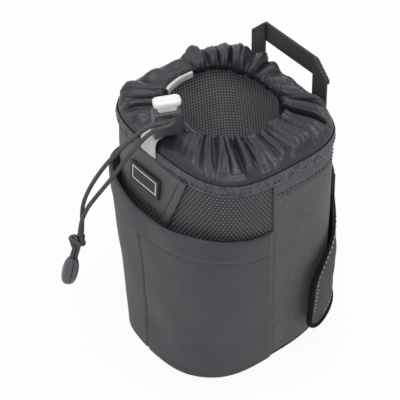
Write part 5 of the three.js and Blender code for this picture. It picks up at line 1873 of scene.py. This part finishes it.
class POUCH_OT_handle(bpy.types.Operator):
    """Make the folded webbing handle and its sewn feet"""

    bl_idname = "pouch.handle"
    bl_label = "Carry handle"

    edge_round = 0.45
    fold_press = 0.2  # how far the strap is pressed into the legs
    stitch_in = 3

    def execute(self, context):
        sizes = in_millimetres(context.scene.pouch_sizes)
        self.wall = Wall(sizes)
        self.stitch = sizes.stitch
        self.make_webbing()
        for name, side in (("handle_foot_left", -1), ("handle_foot_right", 1)):
            self.make_foot(name, side)
        self.sew()
        return {"FINISHED"}

    def strip(self, outline, y, axes):
        """Webbing cut to an outline, with rounded edges."""
        bm = plate(outline, WEBBING, axes)
        bmesh.ops.translate(bm, vec=(0, y, 0), verts=bm.verts)
        soften(bm, flat_rims(bm, 1), self.edge_round, 3)
        return bm

    def make_webbing(self):
        inner, cut = HANDLE_HALF - HANDLE_LEG, HANDLE_HALF - HANDLE_CHAMFER
        shoulder = HANDLE_TOP - HANDLE_CHAMFER
        shapes = []
        for side in (-1, 1):
            leg = [
                (side * inner, HINGE_Z), (side * HANDLE_HALF, HINGE_Z), (side * HANDLE_HALF, shoulder),
                (side * cut, HANDLE_TOP), (side * inner, HANDLE_TOP),
            ]
            shapes.append(self.strip(leg, HANDLE_Y, (0, 2)))
            roll = bmesh.new()
            roll.loops.layers.uv.new(WEAVE_MAP)
            seat = Matrix.Translation((side * (inner + HANDLE_LEG / 2), HANDLE_Y, HINGE_Z))
            bmesh.ops.create_cone(
                roll, cap_ends=True, segments=24, radius1=WEBBING / 2, radius2=WEBBING / 2,
                depth=HANDLE_LEG, matrix=seat @ Matrix.Rotation(math.pi / 2, 4, "Y"),
            )
            shapes.append(roll)
        strap_foot = HANDLE_TOP - HANDLE_STRAP
        strap = [
            (-cut, HANDLE_TOP), (cut, HANDLE_TOP), (HANDLE_HALF, shoulder),
            (HANDLE_HALF, strap_foot), (-HANDLE_HALF, strap_foot), (-HANDLE_HALF, shoulder),
        ]
        shapes.append(self.strip(strap, HANDLE_Y + WEBBING - self.fold_press, (2, 0)))
        add_piece(
            "handle_webbing", joined_shapes(*shapes), "webbing", body="handle",
            replaces=["handle_webbing"], sharp=40,
        )

    def make_foot(self, name, side):
        """Webbing that leaves the wall and rises to the hinge line."""
        middle = side * (HANDLE_HALF - HANDLE_LEG / 2)
        lean = float(self.wall.lean(FOOT_TOP))

        def place(u, v):
            x = middle + HANDLE_LEG * (0.5 - u)
            z = FOOT_TOP - FOOT_HEIGHT * (1 - v)
            height = np.minimum(z, self.wall.height)
            run = self.wall.back + self.wall.run_for(lean - x, height)
            on_wall = self.wall.at(run, height, GAP + WEBBING)
            straight = smoothstep(0.25, 0.95, v)
            y = on_wall[:, 1] + (HANDLE_Y + WEBBING / 2 - on_wall[:, 1]) * straight
            return np.stack([x, y, z], axis=1)

        bm = cloth_grid(16, 24, place, (HANDLE_LEG, FOOT_HEIGHT))
        add_piece(name, bm, "webbing", replaces=[name], thickness=WEBBING, edge=0.4)

    def sew(self):
        """Rows of thread over the folded corners."""
        bm = bmesh.new()
        face = HANDLE_Y + 1.5 * WEBBING - self.fold_press / 2
        for side in (-1, 1):
            for z in (HANDLE_TOP - self.stitch_in, HANDLE_TOP - HANDLE_STRAP + self.stitch_in):
                cut = max(self.stitch_in, z - HANDLE_TOP + HANDLE_CHAMFER)
                x = np.linspace(HANDLE_HALF - HANDLE_LEG, HANDLE_HALF - cut, 12)
                points = np.stack([side * x, np.full_like(x, face), np.full_like(x, z)], axis=1)
                add_stitches(bm, points, np.tile((0.0, 1.0, 0.0), (12, 1)), self.stitch)
        add_piece("handle_stitching", bm, "dark_thread", body="handle")


# Belt flap


class POUCH_OT_belt_flap(bpy.types.Operator):
    """Make the winged belt flap, its piping, patches and anchor strip"""

    bl_idname = "pouch.belt_flap"
    bl_label = "Belt flap"

    patch = 1.0
    cut_share = 0.82
    swell = 0.35
    quilt = 0.7
    quilt_in = 4.5
    pile_height = 0.12
    pile_pitch = 1.7
    piping_thinned = 0.8
    piping_thin_from = 70
    piping_thin_to = 102
    piping_width = 3.2
    piping_depth = 5.0
    anchor_height = 11
    anchor = 1.2
    anchor_dome = 0.15
    stitch_sink = 0.5
    zigzag = 0.5  # sideways lean of each stitch, as a share of its length

    def execute(self, context):
        sizes = in_millimetres(context.scene.pouch_sizes)
        self.wall = Wall(sizes)
        self.stitch = sizes.stitch
        self.make_panel()
        self.make_piping()
        self.make_patches()
        self.make_anchor()
        self.sew()
        return {"FINISHED"}

    def half(self, z):
        """Half width of the flap at a height, with its rounded lower corners."""
        neck = smoothstep(FLAP_WING_FROM, FLAP_WING_TO, z)
        wide = FLAP_WING_HALF + (FLAP_TOP_HALF - FLAP_WING_HALF) * neck
        below = np.clip(FLAP_BOTTOM + FLAP_CORNER - z, 0, FLAP_CORNER)
        return wide - FLAP_CORNER + np.sqrt(FLAP_CORNER**2 - below**2)

    def stand(self, q, z):
        lift = smoothstep(0, FLAP_LIFT, FLAP_TOP - z)
        wing = np.maximum(np.abs(q) - PATCH_HALF, 0) / (FLAP_WING_HALF - PATCH_HALF)
        low = 1 - smoothstep(FLAP_WING_FROM, FLAP_WING_TO, z)
        return GAP + (FLAP_STAND - GAP) * lift + FLAP_FLARE * wing**1.5 * low

    def height(self, v):
        """Rows that crowd towards the rounded lower corners."""
        corner = 0.18
        round_part = FLAP_BOTTOM + FLAP_CORNER * (1 - np.cos(np.minimum(v / corner, 1) * math.pi / 2))
        rest = FLAP_BOTTOM + FLAP_CORNER
        return np.where(v < corner, round_part, rest + (FLAP_TOP - rest) * (v - corner) / (1 - corner))

    def make_panel(self):
        def place(u, v):
            z = self.height(v)
            half = self.half(z)
            q = (1 - 2 * u) * half
            edge = np.minimum(half - np.abs(q), z - FLAP_BOTTOM)
            swell = self.swell * ripple(self.wall.at(q, z, 0), 24, 14) - self.swell
            groove = np.exp(-(((edge - self.quilt_in) / 1.1) ** 2))
            quilt = -self.quilt * groove * smoothstep(0, 10, FLAP_TOP - z)
            return self.wall.at(self.wall.back - q, z, self.stand(q, z) + FLAP + swell + quilt)

        bm = cloth_grid(130, 100, place, (2 * FLAP_WING_HALF, FLAP_TOP - FLAP_BOTTOM))
        panel = add_piece(
            "belt_flap_panel", bm, "ribbed_twill",
            body=None, replaces=["belt_flap_panel"], thickness=1.8,
        )
        hinge_y = float(self.wall.at(self.wall.back, FLAP_TOP, GAP)[1])
        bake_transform(panel)

    def make_piping(self):
        """Plush piping round the wings, from one side of the neck to the other."""
        z = self.height(np.linspace(0, 1, 90))
        z = z[z <= FLAP_TOP - FLAP_LIFT]
        foot = np.linspace(1, -1, 50)[1:-1] * float(self.half(FLAP_BOTTOM))
        q = np.concatenate([self.half(z)[::-1], foot, -self.half(z)])
        z = np.concatenate([z[::-1], np.full_like(foot, FLAP_BOTTOM), z])
        flat = unit(np.gradient(np.stack([q, z], axis=1), axis=0))
        out = GAP + self.piping_width / 2
        route = self.wall.at(
            self.wall.back - (q - out * flat[:, 1]), z + out * flat[:, 0], self.stand(q, z) + FLAP / 2
        )
        path = even_points(route, 0.9)
        facing = self.wall_facing(path)
        side = unit(np.cross(unit(np.gradient(path, axis=0)), facing))

        def place(u, v):
            k = row_at(v, path)
            turn = TAU * u
            neck = smoothstep(self.piping_thin_from, self.piping_thin_to, path[k, 2])
            thick = 1 - self.piping_thinned * neck
            a = self.piping_width / 2 * thick * np.cos(turn)
            b = self.piping_depth / 2 * thick * np.sin(turn)
            return path[k] + a[:, None] * side[k] + b[:, None] * facing[k]

        bm = cloth_grid(20, len(path) - 1, place, (13, 400), loop=True)
        close_tube(bm)
        add_piece(
            "belt_flap_piping", bm, "velour", body="belt_flap", replaces=["belt_flap_binding"]
        )

    def wall_facing(self, points):
        """Outward directions of the wall beside given points."""
        runs = np.linspace(0, self.wall.girth, 721)
        facing = []
        for x, y, z in points:
            line = self.wall.at(runs, z, 0)
            k = int(np.argmin(np.hypot(line[:, 0] - x, line[:, 1] - y)))
            facing.append(self.wall.line(runs[k], z, 0)[1])
        return np.array(facing)

    def make_patches(self):
        """Loop patch on the wall and hook patch on the flap."""
        hook_off = FLAP_STAND - GAP
        patches = (
            ("belt_loop_patch", "velour", GAP + self.patch, False, "pouch"),
            ("belt_hook_patch", "webbing", hook_off - self.patch, True, "belt_flap"),
        )
        for name, finish, off, inner, body in patches:

            def place(u, v):
                across = (1 - 2 * u) if inner else (2 * u - 1)
                s = self.wall.back + PATCH_HALF * across
                z = PATCH_BOTTOM + (PATCH_TOP - PATCH_BOTTOM) * v
                waves = np.sin(s * TAU / self.pile_pitch) * np.sin(z * TAU / self.pile_pitch)
                level = self.pile_height * waves + self.pile_height
                return self.wall.at(s, z, off + (level if inner else -level))

            bm = cloth_grid(150, 75, place, (2 * PATCH_HALF, PATCH_TOP - PATCH_BOTTOM))
            add_piece(name, bm, finish, body=body, replaces=[name], thickness=0.8)

    def make_anchor(self):
        foot = FLAP_TOP + GAP

        def place(u, v):
            s = self.wall.back + FLAP_TOP_HALF * (2 * u - 1)
            z = foot + self.anchor_height * v
            dome = self.anchor_dome * np.sin(math.pi * v)
            return self.wall.at(s, z, GAP + self.anchor - self.anchor_dome + dome)

        bm = cloth_grid(60, 12, place, (2 * FLAP_TOP_HALF, self.anchor_height))
        add_piece(
            "flap_anchor_strip", bm, "ribbed_twill", replaces=["belt_flap_anchor"],
            thickness=self.anchor, edge=0.3,
        )

    def sew(self):
        """Pale rows along the free edge of the flap and dark rows on its anchor."""
        pale = bmesh.new()

        def row(q, z):
            line = self.wall.line(self.wall.back - q, z, self.stand(q, z) + FLAP - self.stitch_sink)
            add_stitches(pale, *line, self.stitch, zigzag=self.zigzag)

        z = np.linspace(FLAP_BOTTOM + FLAP_CORNER, FLAP_TOP - FLAP_LIFT - 2, 80)
        for side in (-1, 1):
            row(side * (self.half(z) - self.quilt_in), z)
        q = np.linspace(-1, 1, 80) * (FLAP_WING_HALF - FLAP_CORNER)
        row(q, np.full_like(q, FLAP_BOTTOM + self.quilt_in))
        add_piece("belt_flap_stitching", pale, "pale_thread", body="belt_flap")
        dark = bmesh.new()
        for up in (3, 8.5):
            q = np.linspace(-FLAP_TOP_HALF + 3, FLAP_TOP_HALF - 3, 60)
            line = self.wall.line(self.wall.back - q, FLAP_TOP + GAP + up, GAP + self.anchor)
            add_stitches(dark, *line, self.stitch)
        add_piece("anchor_stitching", dark, "dark_thread")


# Add-on


class POUCH_PT_sidebar(bpy.types.Panel):
    """Steps, sizes and colours of the pouch"""

    bl_idname = "POUCH_PT_sidebar"
    bl_label = "Lens pouch"
    bl_space_type = "VIEW_3D"
    bl_region_type = "UI"
    bl_category = "Pouch"

    def draw(self, context):
        for step in STEPS:
            self.layout.operator(step.bl_idname)
        for group in (context.scene.pouch_sizes, context.scene.pouch_colours):
            box = self.layout.box()
            for name in group.__annotations__:
                box.prop(group, name)


STEPS = (
    POUCH_OT_stage,
    POUCH_OT_cords,
    POUCH_OT_shell,
    POUCH_OT_shield,
    POUCH_OT_inside,
    POUCH_OT_pocket,
    POUCH_OT_collar,
    POUCH_OT_lock,
    POUCH_OT_handle,
    POUCH_OT_belt_flap,
)
CLASSES = (PouchSizes, PouchColours, *STEPS, POUCH_PT_sidebar)


def register():
    for kind in CLASSES:
        bpy.utils.register_class(kind)
    bpy.types.Scene.pouch_sizes = PointerProperty(type=PouchSizes)
    bpy.types.Scene.pouch_colours = PointerProperty(type=PouchColours)


def unregister():
    del bpy.types.Scene.pouch_colours
    del bpy.types.Scene.pouch_sizes
    for kind in reversed(CLASSES):
        bpy.utils.unregister_class(kind)


def main():
    register()
    for step in STEPS:
        group, name = step.bl_idname.split(".")
        if getattr(getattr(bpy.ops, group), name)() != {"FINISHED"}:
            raise RuntimeError(f"{step.bl_label} did not finish")
    bpy.context.view_layer.update()


if __name__ == "__main__":
    main()
